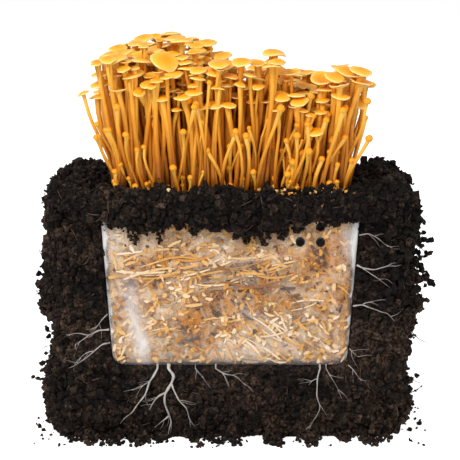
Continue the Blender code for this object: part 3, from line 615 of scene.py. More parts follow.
# The bag's shape, which the film, the block and the soil round it share

bagShape = {
    "cornerRadius": 4 * mm,
    "footRadius": 9 * mm,
    "taper": 7.5 * mm,  # each side comes in this far at the floor
    "bulge": 2.6 * mm,
    "creaseHeight": 0.9 * mm,
}
bagFrontY = bagLow[1] + bagShape["bulge"]


def heightShare(z):
    # 0 at the bag's floor to 1 at its rim
    return np.clip((z - bagLow[2]) / (bagHigh[2] - bagLow[2]), 0, 1)


def bagHalfWidth(z):
    # straight taper from the floor to the rim
    return bagTopHalf - bagShape["taper"] * (1 - heightShare(z))


def footInset(z):
    # how far the round foot stands back at each height: a quarter of a circle
    foot = bagShape["footRadius"]
    below = np.clip(foot - (z - bagLow[2]), 0, foot)
    return foot - np.sqrt(foot**2 - below**2)


def bagLevels(floor, rows):
    # heights of the rings of points, and how far each stands back at the round foot
    foot = bagShape["footRadius"]
    angles = np.linspace(0, math.pi / 2, 7)[:-1]
    levels = [(floor + foot * (1 - math.cos(a)), foot * (1 - math.sin(a))) for a in angles]
    return levels + [(z, 0.0) for z in np.linspace(floor + foot, bagHigh[2], rows)]


def lineRelief(x, z, start, end, width):
    # a bump along a straight stroke: falls off as a bell curve away from it and fades past its ends
    run = np.array(end) - np.array(start)
    length = np.linalg.norm(run)
    ahead = ((x - start[0]) * run[0] + (z - start[1]) * run[1]) / length
    aside = ((x - start[0]) * run[1] - (z - start[1]) * run[0]) / length
    past = np.maximum(np.maximum(-ahead, ahead - length), 0)
    return np.exp(-(aside / width) ** 2 - (past / (3 * width)) ** 2)


# Strokes on the film, each from one place (across, up) to another, with its width
filmCreases = [
    ((0.009, 0.084), (0.044, 0.053), 1.6 * mm),
    ((0.022, 0.079), (0.060, 0.058), 1.3 * mm),
    ((-0.060, 0.078), (-0.052, 0.052), 2.2 * mm),
    ((-0.068, 0.100), (-0.050, 0.058), 1.4 * mm),
    ((-0.040, 0.056), (0.020, 0.052), 1.5 * mm),
    ((-0.030, 0.112), (0.035, 0.118), 1.2 * mm),
    ((0.062, 0.128), (0.066, 0.060), 1.8 * mm),
]


def filmCrumple(x, z):
    # ridged noise: sharp where the noise crosses zero, along two slanting directions, plus the strokes
    total, level = np.zeros_like(x), np.zeros_like(x)
    for angle, seed in ((0.6, 1), (-0.75, 2)):
        cosine, sine = math.cos(angle), math.sin(angle)
        turned = np.stack([x * cosine + z * sine, level, -x * sine + z * cosine], axis=1)
        noise = smoothNoise(turned / np.array([2.8, 1, 1]), 9 * mm, seeds["film"] + seed)
        total += 0.45 * (1 - np.abs(noise)) ** 5
    for start, end, width in filmCreases:
        total += 0.9 * lineRelief(x, z, start, end, width)
    return total


def filmFront(x, z):
    # the film's outer front face: a flat front, swelling in the middle, with its creases standing out
    up = heightShare(z)
    share = np.clip(np.abs(x) / bagHalfWidth(z), 0, 1)
    crown = (1 - share**2) * np.sin(math.pi * up)
    fade = np.clip((1 - share) * 9, 0, 1) * np.clip(up * 14, 0, 1)
    return bagFrontY - bagShape["bulge"] * 0.5 * crown - bagShape["creaseHeight"] * fade * filmCrumple(x, z)


def roundedLoop(halfWidth, halfDepth, corner, counts):
    # a rectangle with round corners, from its front left corner, anticlockwise from above
    frontCount, sideCount, cornerCount = counts
    turns = [(halfWidth, halfDepth, frontCount), (halfDepth, halfWidth, sideCount),
             (halfWidth, halfDepth, sideCount), (halfDepth, halfWidth, sideCount)]
    loop = []
    for side, (along, away, count) in enumerate(turns):
        straight = np.stack([np.linspace(-(along - corner), along - corner, count), np.full(count, -away)], 1)
        angle = np.linspace(-math.pi / 2, 0, cornerCount + 2)[1:-1]
        bend = np.stack([along - corner + corner * np.cos(angle),
                         -(away - corner) + corner * np.sin(angle)], 1)
        cosine, sine = (round(f(side * math.pi / 2)) for f in (math.cos, math.sin))
        loop.append(np.concatenate([straight, bend]) @ np.array([[cosine, sine], [-sine, cosine]]))
    return np.concatenate(loop)


def placedLoop(loop, x, y, z):
    # the flat loop moved along x and y, at one height
    return np.column_stack([loop[:, 0] + x, loop[:, 1] + y, np.full(len(loop), z)])


# Straw block behind the film

blockShape = {
    "cornerRadius": 4.6 * mm,
    "behindFilm": 3.0 * mm,  # its own face, with the shreds between it and the film
    "relief": 1.3 * mm,
    "back": 2.0 * mm,  # how far its other sides stand inside the bag's box
    "floor": 0.9 * mm,
    "pitDepth": 4 * mm,
    "leftRoom": (0.5, 0.8),  # mm of free film beside the straw: at the floor, and how much more at the rim
    "rightRoom": (0.5, 3.6),
    "frontColumns": 110,
    "wallRows": 70,
}


strawPatches = [
    # across, up, radius, change of tone: orange places and pale overgrown ones in the block's face
    (0.060, 0.119, 0.013, -0.32), (-0.026, 0.074, 0.007, -0.46), (0.002, 0.086, 0.014, -0.16),
    (0.022, 0.097, 0.011, -0.14), (-0.066, 0.126, 0.014, 0.24), (-0.055, 0.068, 0.011, 0.34),
    (0.010, 0.060, 0.015, 0.36), (-0.044, 0.084, 0.012, 0.26), (-0.008, 0.120, 0.014, 0.20),
    (0.068, 0.092, 0.009, -0.18), (-0.048, 0.112, 0.009, -0.14), (0.040, 0.066, 0.010, 0.22),
    (0.0, 0.098, 0.034, -0.10),
]


def patchTone(x, z):
    # sum of a bell curve for each patch
    return sum(change * bell(x, z, px, pz, radius) for px, pz, radius, change in strawPatches)


def nearVent(x, z):
    # distance to the nearest air hole
    return np.min([np.hypot(x - vx, z - vz) for vx, vz in ventPlaces], axis=0)


def sideRoom(z):
    # free film at the left and right of the straw, wider towards the top
    up = heightShare(z)
    (leftLow, leftMore), (rightLow, rightMore) = blockShape["leftRoom"], blockShape["rightRoom"]
    # a straight rise on the left, a square on the right
    return (leftLow + leftMore * up) * mm, (rightLow + rightMore * up**2) * mm


def makeBlock():
    # rings up the tapered pack, its front a set way behind the film, with relief and a pit per air hole
    counts = (blockShape["frontColumns"], 10, 6)
    floor = bagLow[2] + blockShape["floor"]
    rings = []
    for z, inset in bagLevels(floor, blockShape["wallRows"]):
        left, right = sideRoom(z)
        halfWidth = bagHalfWidth(z) - 0.5 * (left + right) - inset
        loop = roundedLoop(halfWidth, bagHalfDepth - blockShape["back"] - inset,
                           blockShape["cornerRadius"] - 0.6 * inset, counts)
        rings.append(placedLoop(loop, 0.5 * (left - right), bagMiddleY, z))
    points = np.concatenate(rings)
    x, y, z = points.T
    front = np.clip((bagMiddleY - bagHalfDepth * 0.75 - y) / (bagHalfDepth * 0.12), 0, 1)
    face = filmFront(x, z) + blockShape["behindFilm"]
    face = face + blockShape["relief"] * layeredNoise(points, 7 * mm, seeds["straw"], 3)
    pit = np.clip((ventRadius + 0.3 * mm - nearVent(x, z)) / (0.9 * mm), 0, 1) * (front > 0.5)
    back = bagMiddleY - bagHalfDepth + blockShape["back"]
    y += front * np.maximum(face - back, -0.2 * mm) + blockShape["pitDepth"] * pit
    points = np.concatenate([points, [[0, bagMiddleY, floor], [0, bagMiddleY, bagHigh[2]]]])
    faces = closedFaces(len(rings), len(rings[0]))
    addPiece("straw_block", points, faces, blockSkin, replaced=["substrate_block"],
             values={"patch": patchTone(points[:, 0], points[:, 2])})


shredKinds = [
    # count, length range, width range, lean and spread of the tilt in degrees, steps, tone range, share of
    # mauve ones, and where only part of the face has them, the area as (across from, to, up from, to)
    (250, (4.0 * mm, 12 * mm), (0.9 * mm, 2.1 * mm), (0, 75), 3, (0.26, 0.80), 0.08, None),
    (900, (1.8 * mm, 4.8 * mm), (1.1 * mm, 2.7 * mm), (0, 90), 2, (0.30, 0.92), 0.10, None),
    (620, (1.2 * mm, 3.4 * mm), (0.8 * mm, 2.0 * mm), (0, 90), 2, (0.0, 0.28), 0.30, None),
    (50, (14 * mm, 38 * mm), (0.7 * mm, 1.7 * mm), (7, 9), 6, (0.42, 0.95), 0.06, (-0.068, 0.036, 0.097, 0.120)),
    (24, (11 * mm, 25 * mm), (0.6 * mm, 1.4 * mm), (-38, 8), 5, (0.44, 0.98), 0.0, (0.010, 0.060, 0.056, 0.086)),
    (14, (10 * mm, 24 * mm), (0.6 * mm, 1.3 * mm), (14, 22), 5, (0.40, 0.95), 0.1, (-0.060, 0.060, 0.060, 0.100)),
]
shredShape = {
    "depths": (1.0, 3.2),  # mm from the film's face to a shred's middle
    "behindFilm": 0.9 * mm,  # the least room at its ends
    "fromSide": 0.6 * mm,
    "mauveMore": 0.34,  # how much likelier mauve is in the middle of a mauve patch
}
mauvePatches = [
    # across, up, radius: places where more of the straw is greyish mauve
    (-0.034, 0.062, 0.013), (0.020, 0.099, 0.015), (0.044, 0.080, 0.013), (0.006, 0.104, 0.010),
]


def bentStrips(starts, runs, widths, thicknesses, bows, segments):
    # a flat strip along each run: four corners at each step, moved aside by a parabola of the bow
    count = len(starts)
    share = np.linspace(0, 1, segments + 1)
    length = np.linalg.norm(runs, axis=1, keepdims=True)
    ahead = runs / length
    depth = np.tile([0.0, 1.0, 0.0], (count, 1))
    aside = unit(np.cross(ahead, depth))
    arc = 4 * share * (1 - share)
    taper = (0.55 + 0.45 * np.sqrt(np.clip(arc, 0, 1)))[None, :, None]
    spine = (starts[:, None] + runs[:, None] * share[None, :, None]
             + aside[:, None] * bows[:, None, None] * arc[None, :, None])
    w = aside[:, None] * (0.5 * widths[:, None, None]) * taper
    t = depth[:, None] * (0.5 * thicknesses[:, None, None])
    corners = np.stack([spine - w - t, spine + w - t, spine + w + t, spine - w + t], axis=2)
    points = corners.reshape(-1, 3)
    one = gridFaces(segments + 1, 4)
    last = segments * 4
    ends = np.array([[0, 2, 1], [0, 3, 2], [last, last + 1, last + 2], [last, last + 2, last + 3]])
    one = np.concatenate([one, ends])
    block = (segments + 1) * 4
    faces = (one[None] + block * np.arange(count)[:, None, None]).reshape(-1, 3)
    return points, faces, block


def makeShreds():
    # strips of each kind, kept where both ends lie inside the film and clear of the air holes
    chance = np.random.default_rng(seeds["straw"])
    wholeFace = (-bagTopHalf, bagTopHalf, bagLow[2] + 1 * mm, bagHigh[2] - 2 * mm)
    parts = []
    for count, lengths, widths, (lean, spread), segments, tones, mauveShare, area in shredKinds:
        left, right, low, high = area or wholeFace
        x, z = chance.uniform(left, right, count), chance.uniform(low, high, count)
        length = chance.uniform(*lengths, count)
        tilt = np.radians(lean + spread * chance.uniform(-1, 1, count))
        run = np.stack([np.cos(tilt), chance.uniform(-0.04, 0.04, count), np.sin(tilt)], axis=1)
        run = run * length[:, None]
        width = chance.uniform(*widths, count)
        thick = width * chance.uniform(0.25, 0.6, count)
        low, high = bagLow[2] + 1.2 * mm + width / 2, bagHigh[2] - 1 * mm
        endX, endZ = x + run[:, 0] / 2, z + run[:, 2] / 2
        kept = np.ones(count, bool)
        for tipX, tipZ in ((endX, endZ), (x - run[:, 0] / 2, z - run[:, 2] / 2)):
            left, right = sideRoom(tipZ)
            half = bagHalfWidth(tipZ) - footInset(tipZ) - shredShape["fromSide"]
            kept &= (tipX > left - half) & (tipX < half - right)
        kept &= (endZ < high) & (endZ > low) & (z - run[:, 2] / 2 > low) & (z - run[:, 2] / 2 < high)
        kept &= nearVent(x, z) > ventRadius + 0.4 * length
        depth = filmFront(x, z) + footInset(z) + chance.uniform(*shredShape["depths"], count) * mm
        middle = np.stack([x, depth, z], axis=1)
        ends = [np.stack([x + s * run[:, 0], x * 0, z + s * run[:, 2]], 1) for s in (-0.5, 0.5)]
        least = [filmFront(end[:, 0], end[:, 2]) + footInset(end[:, 2]) + shredShape["behindFilm"]
                 for end in ends]
        start = middle - run / 2
        start[:, 1] = np.maximum(start[:, 1], least[0])
        run[:, 1] = np.maximum(middle[:, 1] + run[:, 1] / 2, least[1]) - start[:, 1]
        bow = length * chance.uniform(-0.12, 0.12, count)
        points, faces, block = bentStrips(start[kept], run[kept], width[kept], thick[kept], bow[kept], segments)
        flat = middle * (1, 0, 1)
        tone = chance.uniform(*tones, count) + 0.14 * smoothNoise(flat, 13 * mm, seeds["straw"] + 7)
        tone += strawLook["clumping"] * smoothNoise(flat, 5 * mm, seeds["straw"] + 8)
        tone += patchTone(x, z)
        mauve = mauveShare + sum(shredShape["mauveMore"] * bell(x, z, *patch) for patch in mauvePatches)
        cool = (chance.random(count) < mauve) * chance.uniform(0.5, 0.95, count)
        tone, cool = (np.repeat(numbers[kept], block) for numbers in (np.clip(tone, 0, 1), cool))
        parts.append((points, faces, {"tint": tone, "cool": cool}, None))
    addJoined("straw_shreds", parts, strawSkin, smooth=False)


makeBlock()
makeShreds()
print("straw block made")


# Film bag

filmShape = {
    "thickness": 0.25 * mm,
    "frontColumns": 130,
    "wallRows": 76,
    # whitening along the creases: part haze, part painted glint
    "creaseHazeAndGlint": 0.075,
    "bottomHaze": 0.14,
    # white margins: width against the free room, haze at the floor, and how much more at the rim
    "leftMargin": (1.9, 0.60, 0.34),
    "rightMargin": (1.6, 0.72, 0.26),
    "streak": (0.24, (-0.0600, 0.088), (-0.0545, 0.056), 4.6 * mm),  # painted glare along the fold low on the left, with some haze: strength, from, to, width
    # white clouds of haze, the first a painted glint low on the left: strength, middle across and up, then half
    # their width and height
    "hazeCloudsAndGlint": [(0.38, -0.0530, 0.0635, 0.0026, 0.0042), (0.12, 0.012, 0.059, 0.018, 0.004),
               (0.26, 0.0755, 0.128, 0.0060, 0.012), (0.10, -0.0740, 0.128, 0.0070, 0.014)],
}


def filmHazeAndGlint(x, y, z):
    # white where the film is folded: margins at both sides, creases with painted glints, and clouds of haze low
    # on the left with painted glare and a painted glint
    half, up = bagHalfWidth(z), heightShare(z)
    folds = 0.66 + 0.34 * smoothNoise(np.stack([x, y, z * 0.10], 1), 1.3 * mm, seeds["film"] + 8)
    ragged = 1.7 * mm * layeredNoise(np.stack([x * 0.2, y * 0, z], 1), 6 * mm, seeds["film"] + 9)
    leftRoom, rightRoom = sideRoom(z)
    margins = []
    for fromEdge, room, (width, low, more) in ((x + half, leftRoom, filmShape["leftMargin"]),
                                               (half - x, rightRoom, filmShape["rightMargin"])):
        margins.append(np.clip(width - (fromEdge + ragged) / room, 0, 1) * (low + more * up))
    # painted glare along the low left fold, and a painted glint in the first cloud
    strength, *stroke = filmShape["streak"]
    cloud = strength * lineRelief(x, z, *stroke)
    for strength, px, pz, wide, tall in filmShape["hazeCloudsAndGlint"]:
        cloud += strength * np.exp(-((x - px) / wide) ** 2 - ((z - pz) / tall) ** 2)
    bottom = filmShape["bottomHaze"] * np.clip(1 - up / 0.03, 0, 1)
    # painted glints along the creases, with some haze
    crumple = filmShape["creaseHazeAndGlint"] * np.clip(filmCrumple(x, z) - 0.35, 0, 1.5)
    return np.clip(np.maximum(*margins) * folds + cloud + bottom + crumple, 0, 1)


def makeFilm():
    # rings up the bag with a floor, thickened inwards, the air holes cut through it
    counts = (filmShape["frontColumns"], 10, 5)
    corner, bulge = bagShape["cornerRadius"], bagShape["bulge"]
    levels = bagLevels(bagLow[2], filmShape["wallRows"])
    rings = []
    for z, inset in levels:
        loop = roundedLoop(bagHalfWidth(z) - inset, bagHalfDepth - bulge - inset,
                           max(corner - inset, 1.6 * mm), counts)
        rings.append(placedLoop(loop, 0, bagMiddleY, z))
    points = np.concatenate(rings)
    columns = len(rings[0])
    x, y, z = points.T
    frontLine = bagMiddleY - bagHalfDepth + bulge
    weight = np.clip(1 - (y - frontLine) / corner, 0, 1)
    inset = np.repeat([step for _, step in levels], columns)
    y += weight * (filmFront(x, z) - frontLine) * (inset < 1e-9)
    faces = gridFaces(len(rings), columns)
    points = np.concatenate([points, [[0, bagMiddleY, bagLow[2]]]])
    faces = np.concatenate([faces, fanFaces(np.arange(columns), len(points) - 1, True)])
    bag = addPiece("film_bag", points, faces, filmSkin, replaced=["grow_bag"],
                   values={"hazeAndGlint": filmHazeAndGlint(*points.T)})
    wall = bag.modifiers.new("film thickness", "SOLIDIFY")
    wall.thickness = filmShape["thickness"]
    wall.offset = -1.0
    pegs = bmesh.new()
    for vx, vz in ventPlaces:
        peg = bmesh.ops.create_cone(pegs, cap_ends=True, segments=24, radius1=ventRadius, radius2=ventRadius,
                                    depth=0.02)
        bmesh.ops.rotate(pegs, verts=peg["verts"], matrix=upToBack)
        bmesh.ops.translate(pegs, verts=peg["verts"], vec=(vx, bagFrontY, vz))
    mesh = bpy.data.meshes.new("pegs")
    pegs.to_mesh(mesh)
    pegs.free()
    cutter = linkObject("pegs", mesh)
    cut = bag.modifiers.new("air holes", "BOOLEAN")
    cut.object = cutter
    cut.operation = "DIFFERENCE"
    finished = finishedMesh(bag)
    bag.modifiers.clear()
    bag.data = finished
    bpy.data.objects.remove(cutter)


upToBack = Vector((0, 0, 1)).rotation_difference(Vector((0, 1, 0))).to_matrix()
makeFilm()
print("film bag made")


# Soil

soilShape = {
    "voxel": 2.0 * mm,
    "clod": (11 * mm, 3.6 * mm),  # size and height of each layer of relief
    "lump": (6.0 * mm, 3.2 * mm),
    "grit": (2.6 * mm, 1.1 * mm),
    "frontShare": 0.95,
    "region": 34 * mm,  # size of the browner and blacker areas
    "notch": (61 * mm, 4.0 * mm, 6 * mm),  # in the left side: height, half width, depth
    "notchFrom": (88 * mm, 14 * mm),  # how far left it begins, and the width over which it deepens
    # where the outline's corners stand out further: across, up, radius, height
    "swells": [(-103 * mm, 151 * mm, 13 * mm, 6 * mm), (103 * mm, 153 * mm, 13 * mm, 6 * mm),
               (-104 * mm, 14 * mm, 15 * mm, 6 * mm), (104 * mm, 15 * mm, 15 * mm, 6 * mm),
               (-112 * mm, 100 * mm, 16 * mm, 2 * mm)],
    # how far the front's lowest edge stands back in places, then the width, depth and height of those places
    "footRecess": (8 * mm, 13 * mm, 26 * mm, 5 * mm),
    "ridgeFrom": (134 * mm, 8 * mm),  # height where the blacker ridge begins, and over what height
    # brownness: its middle value, then how much the areas, the lumps (painted light on their tops, painted shade
    # between them) and the ridge change it
    "brownness": (0.41, 0.45, 1.25, -0.28),
}


def insidePocket(points, margin):
    # whether each point lies in the room that the bag takes, widened by a margin
    x, y, z = points.T
    return ((np.abs(x) < bagHalfWidth(z) + margin) & (y > bagLow[1] - 0.2 * mm) & (y < bagHigh[1] + margin)
            & (z > bagLow[2] - margin) & (z < bagHigh[2] + 1.5 * mm))


def makeSoilBody():
    # the packed soil in even steps, each point moved outwards by cell noise, grit, notch and swells
    helper = linkObject("remeshed soil", plainMesh(nodes["soil"])[0])
    remesh = helper.modifiers.new("even", "REMESH")
    remesh.mode = "VOXEL"
    remesh.voxel_size = soilShape["voxel"]
    even = finishedMesh(helper)
    bpy.data.objects.remove(helper)
    points, normals = (readArray(even.vertices, key, 3) for key in ("co", "normal"))
    quads = readArray(even.polygons, "vertices", 4, np.int64)
    relief = sum(height * (0.55 - cellNoise(points, size, seeds["soil"] + n))
                 for n, (size, height) in enumerate((soilShape["clod"], soilShape["lump"])))
    gritSize, gritHeight = soilShape["grit"]
    relief = relief + gritHeight * smoothNoise(points, gritSize, seeds["soil"] + 5)
    front = normals[:, 1] < -0.6
    relief = np.where(front, relief * soilShape["frontShare"], relief)
    height, halfWidth, depth = soilShape["notch"]
    begin, width = soilShape["notchFrom"]
    leftness = np.clip((-points[:, 0] - begin) / width, 0, 1)
    relief = relief - depth * np.exp(-((points[:, 2] - height) / halfWidth) ** 2) * leftness
    for px, pz, radius, height in soilShape["swells"]:
        near = bell(points[:, 0], points[:, 2], px, pz, radius)
        relief = relief + height * near * (normals[:, 1] > -0.75)
    relief = np.where(insidePocket(points, 3 * mm), 0.0, relief)
    moved = points + normals * relief[:, None]
    onFloor = points[:, 2] < 0.6 * mm
    moved[onFloor] = points[onFloor]
    moved[:, 2] = np.where(onFloor, 0.0, np.maximum(moved[:, 2], 0.3 * mm))
    recess, width, depth, height = soilShape["footRecess"]
    wave = np.clip(0.15 + layeredNoise(moved * (1, 0, 0), width, seeds["soil"] + 30, 2), 0, 1)
    near = np.clip(1 - (moved[:, 1] - soilLow[1]) / depth, 0, 1) * np.exp(-(moved[:, 2] / height) ** 2)
    moved[:, 1] += recess * wave * near
    addPiece("soil_body", moved, quads, soilSkin, values={"tint": soilTint(points)}, replaced=["soil"])
    return moved, quads


def soilTint(points):
    # how brown the soil is at each point: in large areas, on top of its lumps as painted light with painted shade
    # between them, and least on the ridge
    region = layeredNoise(points, soilShape["region"], seeds["soil"] + 9, 3)
    # the same cells as the relief's lumps: browner on their tops as painted light, blacker between them as
    # painted shade
    lumps = 0.5 - cellNoise(points, soilShape["lump"][0], seeds["soil"] + 1)
    ridgeLow, ridgeRise = soilShape["ridgeFrom"]
    ridge = np.clip((points[:, 2] - ridgeLow) / ridgeRise, 0, 1)
    middle, regionShare, paintedLumpLight, ridgeShare = soilShape["brownness"]
    return np.clip(middle + regionShare * region + paintedLumpLight * lumps + ridgeShare * ridge, 0.02, 1)


def surfaceSpots(points, quads, chance, count, weightOf):
    # random places on the quads, as likely as their area times a weight, with their outward directions
    a, b, c, d = (points[quads[:, n]] for n in range(4))
    across, up = 0.5 * (b - a + c - d), 0.5 * (d - a + c - b)
    normal = np.cross(across, up)
    area = np.linalg.norm(normal, axis=1)
    normal = normal / area[:, None]
    weight = area * weightOf((a + c) / 2, normal)
    picked = chance.choice(len(quads), size=count, p=weight / weight.sum())
    u, v = chance.random((2, count, 1))
    place = ((1 - u) * (1 - v) * a[picked] + u * (1 - v) * b[picked]
             + u * v * c[picked] + (1 - u) * v * d[picked])
    return place, normal[picked]


octahedron = (np.array([[1, 0, 0], [0, 1, 0], [-1, 0, 0], [0, -1, 0], [0, 0, 1], [0, 0, -1]], float),
              np.array([[0, 1, 4], [1, 2, 4], [2, 3, 4], [3, 0, 4],
                        [1, 0, 5], [2, 1, 5], [3, 2, 5], [0, 3, 5]]))


def crumbShapes(chance, kinds, fine):
    # icosahedra, or octahedra for fine crumbs, with each corner pulled in or out and squashed along the axes
    corners, faces = octahedron
    if not fine:
        work = bmesh.new()
        bmesh.ops.create_icosphere(work, subdivisions=1, radius=1.0)
        corners = np.array([vertex.co[:] for vertex in work.verts])
        faces = np.array([[vertex.index for vertex in face.verts] for face in work.faces])
        work.free()
    shapes = [corners * chance.uniform(0.55, 1.4, (len(corners), 1)) * chance.uniform(0.6, 1.2, (1, 3))
              for _ in range(kinds)]
    return np.array(shapes), faces


def crumbCloud(chance, centres, sizes, tints, fine=False):
    # one crumb shape turned at random at each centre, all in one mesh
    shapes, faces = crumbShapes(chance, 32, fine)
    count = len(centres)
    picked = shapes[chance.integers(0, len(shapes), count)] * sizes[:, None, None]
    turned = np.einsum("nij,nkj->nki", randomTurns(chance, count), picked)
    points = (turned + centres[:, None]).reshape(-1, 3)
    points[:, 2] = np.maximum(points[:, 2], 0.05 * mm)
    corners = shapes.shape[1]
    allFaces = (faces[None] + corners * np.arange(count)[:, None, None]).reshape(-1, 3)
    return points, allFaces, {"tint": np.repeat(tints, corners)}


def addCrumbs(name, chance, centres, sizes, tints, fine=False):
    # one piece of crumbs of potting soil
    points, faces, values = crumbCloud(chance, centres, sizes, tints, fine)
    addPiece(name, points, faces, crumbSkin, smooth=False, values=values)


crumbFields = {
    # counts of coarse and fine crumbs, the coarse ones' sizes, and which part of the surface they lie on
    "soil_crumbs_front": {
        "counts": (6000, 12500),
        "size": (0.9 * mm, 3.5 * mm),
        "where": lambda place, normal: (place[:, 1] < soilLow[1] + 32 * mm) & (normal[:, 1] < 0.35),
    },
    "soil_crumbs_sides": {
        "counts": (3200, 4600),
        "size": (1.1 * mm, 3.6 * mm),
        "where": lambda place, normal: (place[:, 1] >= soilLow[1] + 28 * mm) & (normal[:, 1] < 0.55),
    },
    "soil_crumbs_back": {
        "counts": (1500, 1900),
        "size": (1.2 * mm, 3.8 * mm),
        "where": lambda place, normal: normal[:, 1] >= 0.5,
    },
}
fineCrumb = (0.35 * mm, 1.15 * mm)
clusterShape = {
    "count": 290,
    "crumbs": 11,
    "reach": 7.0 * mm,
    "spread": 0.45,  # of their directions
    "scatter": 1.1 * mm,
    # where they grow: at most this far in from the sides, above the first height and below the second
    "fromSide": 9 * mm,
    "above": 145 * mm,
    "below": 16 * mm,
}


def clearOfWindow(centre, size):
    # whether a crumb stays off the film's open face and out of the room of the bag
    x, y, z = centre.T
    inWindow = np.abs(x) < bagHalfWidth(z) + 0.3 * mm
    inWindow &= (z > bagLow[2] - 0.3 * mm) & (z < bagHigh[2] - 1 * mm)
    return ~(inWindow & (y > bagLow[1] - size) & (y < bagHigh[1]))


def offThreads(centre, size, threadLine):
    # whether a crumb leaves the threads in sight, by its distance from their lines as seen from the front
    apart = np.linalg.norm(centre[:, None, [0, 2]] - threadLine[None], axis=2).min(axis=1)
    return (apart > 0.75 * size + 0.5 * mm) | (centre[:, 1] > soilLow[1] + 25 * mm)


def makeCrumbs(points, quads, threadLine):
    # crumbs over the whole body: low * (high / low) ** (chance ** 1.5) gives their sizes
    chance = np.random.default_rng(seeds["crumbs"])
    for name, field in crumbFields.items():
        def weightOf(place, normal, field=field):
            bare = insidePocket(place, 2.0 * mm) | (place[:, 2] < 1.0 * mm)
            return np.where(bare | ~field["where"](place, normal), 0.0, 1.0)
        for count, (low, high), fine in zip(field["counts"], (field["size"], fineCrumb), (False, True)):
            place, normal = surfaceSpots(points, quads, chance, count, weightOf)
            size = low * (high / low) ** (chance.random(len(place)) ** 1.5)
            centre = place + normal * (size * chance.uniform(-0.3, 0.7, len(place)))[:, None]
            kept = clearOfWindow(centre, size)
            if not fine:
                kept &= offThreads(centre, size, threadLine)
            centre, size = centre[kept], size[kept]
            addCrumbs(name + ("_fine" if fine else ""), chance, centre, size, crumbTint(chance, centre), fine)


def crumbTint(chance, centre):
    # mostly black crumbs with a few much browner ones, taking the soil's tint where they lie, its painted light
    # and shade on the lumps included
    return np.clip(0.85 * soilTint(centre) + chance.beta(0.6, 2.6, len(centre)) - 0.22, 0, 1)


def makeClusters(points, quads):
    # bunches of crumbs that stand out from the block's outline, each a short heap along a random direction
    chance = np.random.default_rng(seeds["crumbs"] + 1)
    left, right = points[:, 0].min() + clusterShape["fromSide"], points[:, 0].max() - clusterShape["fromSide"]

    def weightOf(place, normal):
        outer = (place[:, 0] < left) | (place[:, 0] > right)
        outer |= (place[:, 2] > clusterShape["above"]) | (place[:, 2] < clusterShape["below"])
        bare = insidePocket(place, 3 * mm) | (place[:, 2] < 1.5 * mm) | (normal[:, 2] < -0.6)
        bare |= (place[:, 0] < -90 * mm) & (np.abs(place[:, 2] - soilShape["notch"][0]) < 6 * mm)
        return np.where(outer & ~bare, 1.0, 0.0)
    place, normal = surfaceSpots(points, quads, chance, clusterShape["count"], weightOf)
    heading = unit(normal + chance.normal(0, clusterShape["spread"], normal.shape))
    reach = clusterShape["reach"] * chance.random(len(place)) ** 1.4
    share = chance.random((len(place), clusterShape["crumbs"])) ** 1.3
    centre = place[:, None] + heading[:, None] * (share * reach[:, None])[..., None]
    centre = centre + chance.normal(0, clusterShape["scatter"], centre.shape)
    size = (2.1 - 1.4 * share) * chance.uniform(0.55, 1.1, share.shape) * mm
    centre, size = centre.reshape(-1, 3), size.reshape(-1)
    kept = clearOfWindow(centre, size) & ((centre[:, 1] > bagLow[1] + 4 * mm) | (centre[:, 2] < bagLow[2]))
    centre, size = centre[kept], size[kept]
    addCrumbs("soil_clusters", chance, centre, size, crumbTint(chance, centre))


filmCrumbShape = {
    "tries": 6000,
    "across": (-0.079, 0.079),
    "up": (0.116, 0.150),
    "chances": [(0.9, 1.3 * mm), (0.012, 8 * mm)],  # at the ridge's edge, and the gap over which each falls
    "perHeap": 46,  # crumbs in a heap of 5 mm half width
}
# Small hanging heaps on the film: across, top, foot, half width at the top
filmDrips = [
    (-0.072, 0.141, 0.135, 0.005), (-0.0585, 0.140, 0.1255, 0.006), (-0.043, 0.137, 0.126, 0.0035),
    (-0.031, 0.139, 0.134, 0.004), (-0.022, 0.137, 0.131, 0.004), (-0.012, 0.137, 0.134, 0.003),
    (0.010, 0.137, 0.126, 0.005), (0.021, 0.136, 0.1245, 0.006), (0.032, 0.136, 0.128, 0.005),
    (0.041, 0.138, 0.132, 0.004), (0.064, 0.141, 0.136, 0.004),
]


def soilHit(start, heading):
    # where a ray first meets the soil, or None
    return soilTree.ray_cast(Vector(start), Vector(heading))[0]


def frontAt(x, z):
    # the film's front at a single place
    return float(filmFront(np.array([x]), np.array([z]))[0])


def makeFilmCrumbs():
    # crumbs on the film below the ridge's lower edge, fewer with distance from it, and the hanging heaps
    chance = np.random.default_rng(seeds["crumbs"] + 2)
    centres, sizes = [], []
    for middle, high, low, halfWidth in filmDrips:
        for down in chance.random(int(filmCrumbShape["perHeap"] * halfWidth / (5 * mm))) ** 0.8:
            x = middle + halfWidth * (1 - 0.75 * down) * chance.uniform(-1, 1)
            size = chance.uniform(0.7, 1.9) * mm * (1 - 0.35 * down)
            z = high + (low - high) * down
            centres.append((x, frontAt(x, z) - 0.5 * size, z))
            sizes.append(size)
    tries = filmCrumbShape["tries"]
    across = chance.uniform(*filmCrumbShape["across"], tries)
    for x, z in zip(across, chance.uniform(*filmCrumbShape["up"], tries)):
        front = frontAt(x, z)
        ahead = soilHit((x, -1.0, z), (0, 1, 0))
        above = soilHit((x, front - 1.5 * mm, z), (0, 0, 1))
        if above is None or (ahead is not None and ahead.y < front):
            continue
        gap = above.z - z
        if chance.random() > sum(share * math.exp(-gap / fall) for share, fall in filmCrumbShape["chances"]):
            continue
        size = chance.uniform(0.3, 1.4) * mm * (1.3 if gap < 1.5 * mm else 0.8)
        centres.append((x, front - 0.45 * size, z))
        sizes.append(size)
    addCrumbs("film_crumbs", chance, np.array(centres), np.array(sizes), chance.beta(1.2, 3.0, len(centres)))
    print(len(centres), "crumbs on the film")


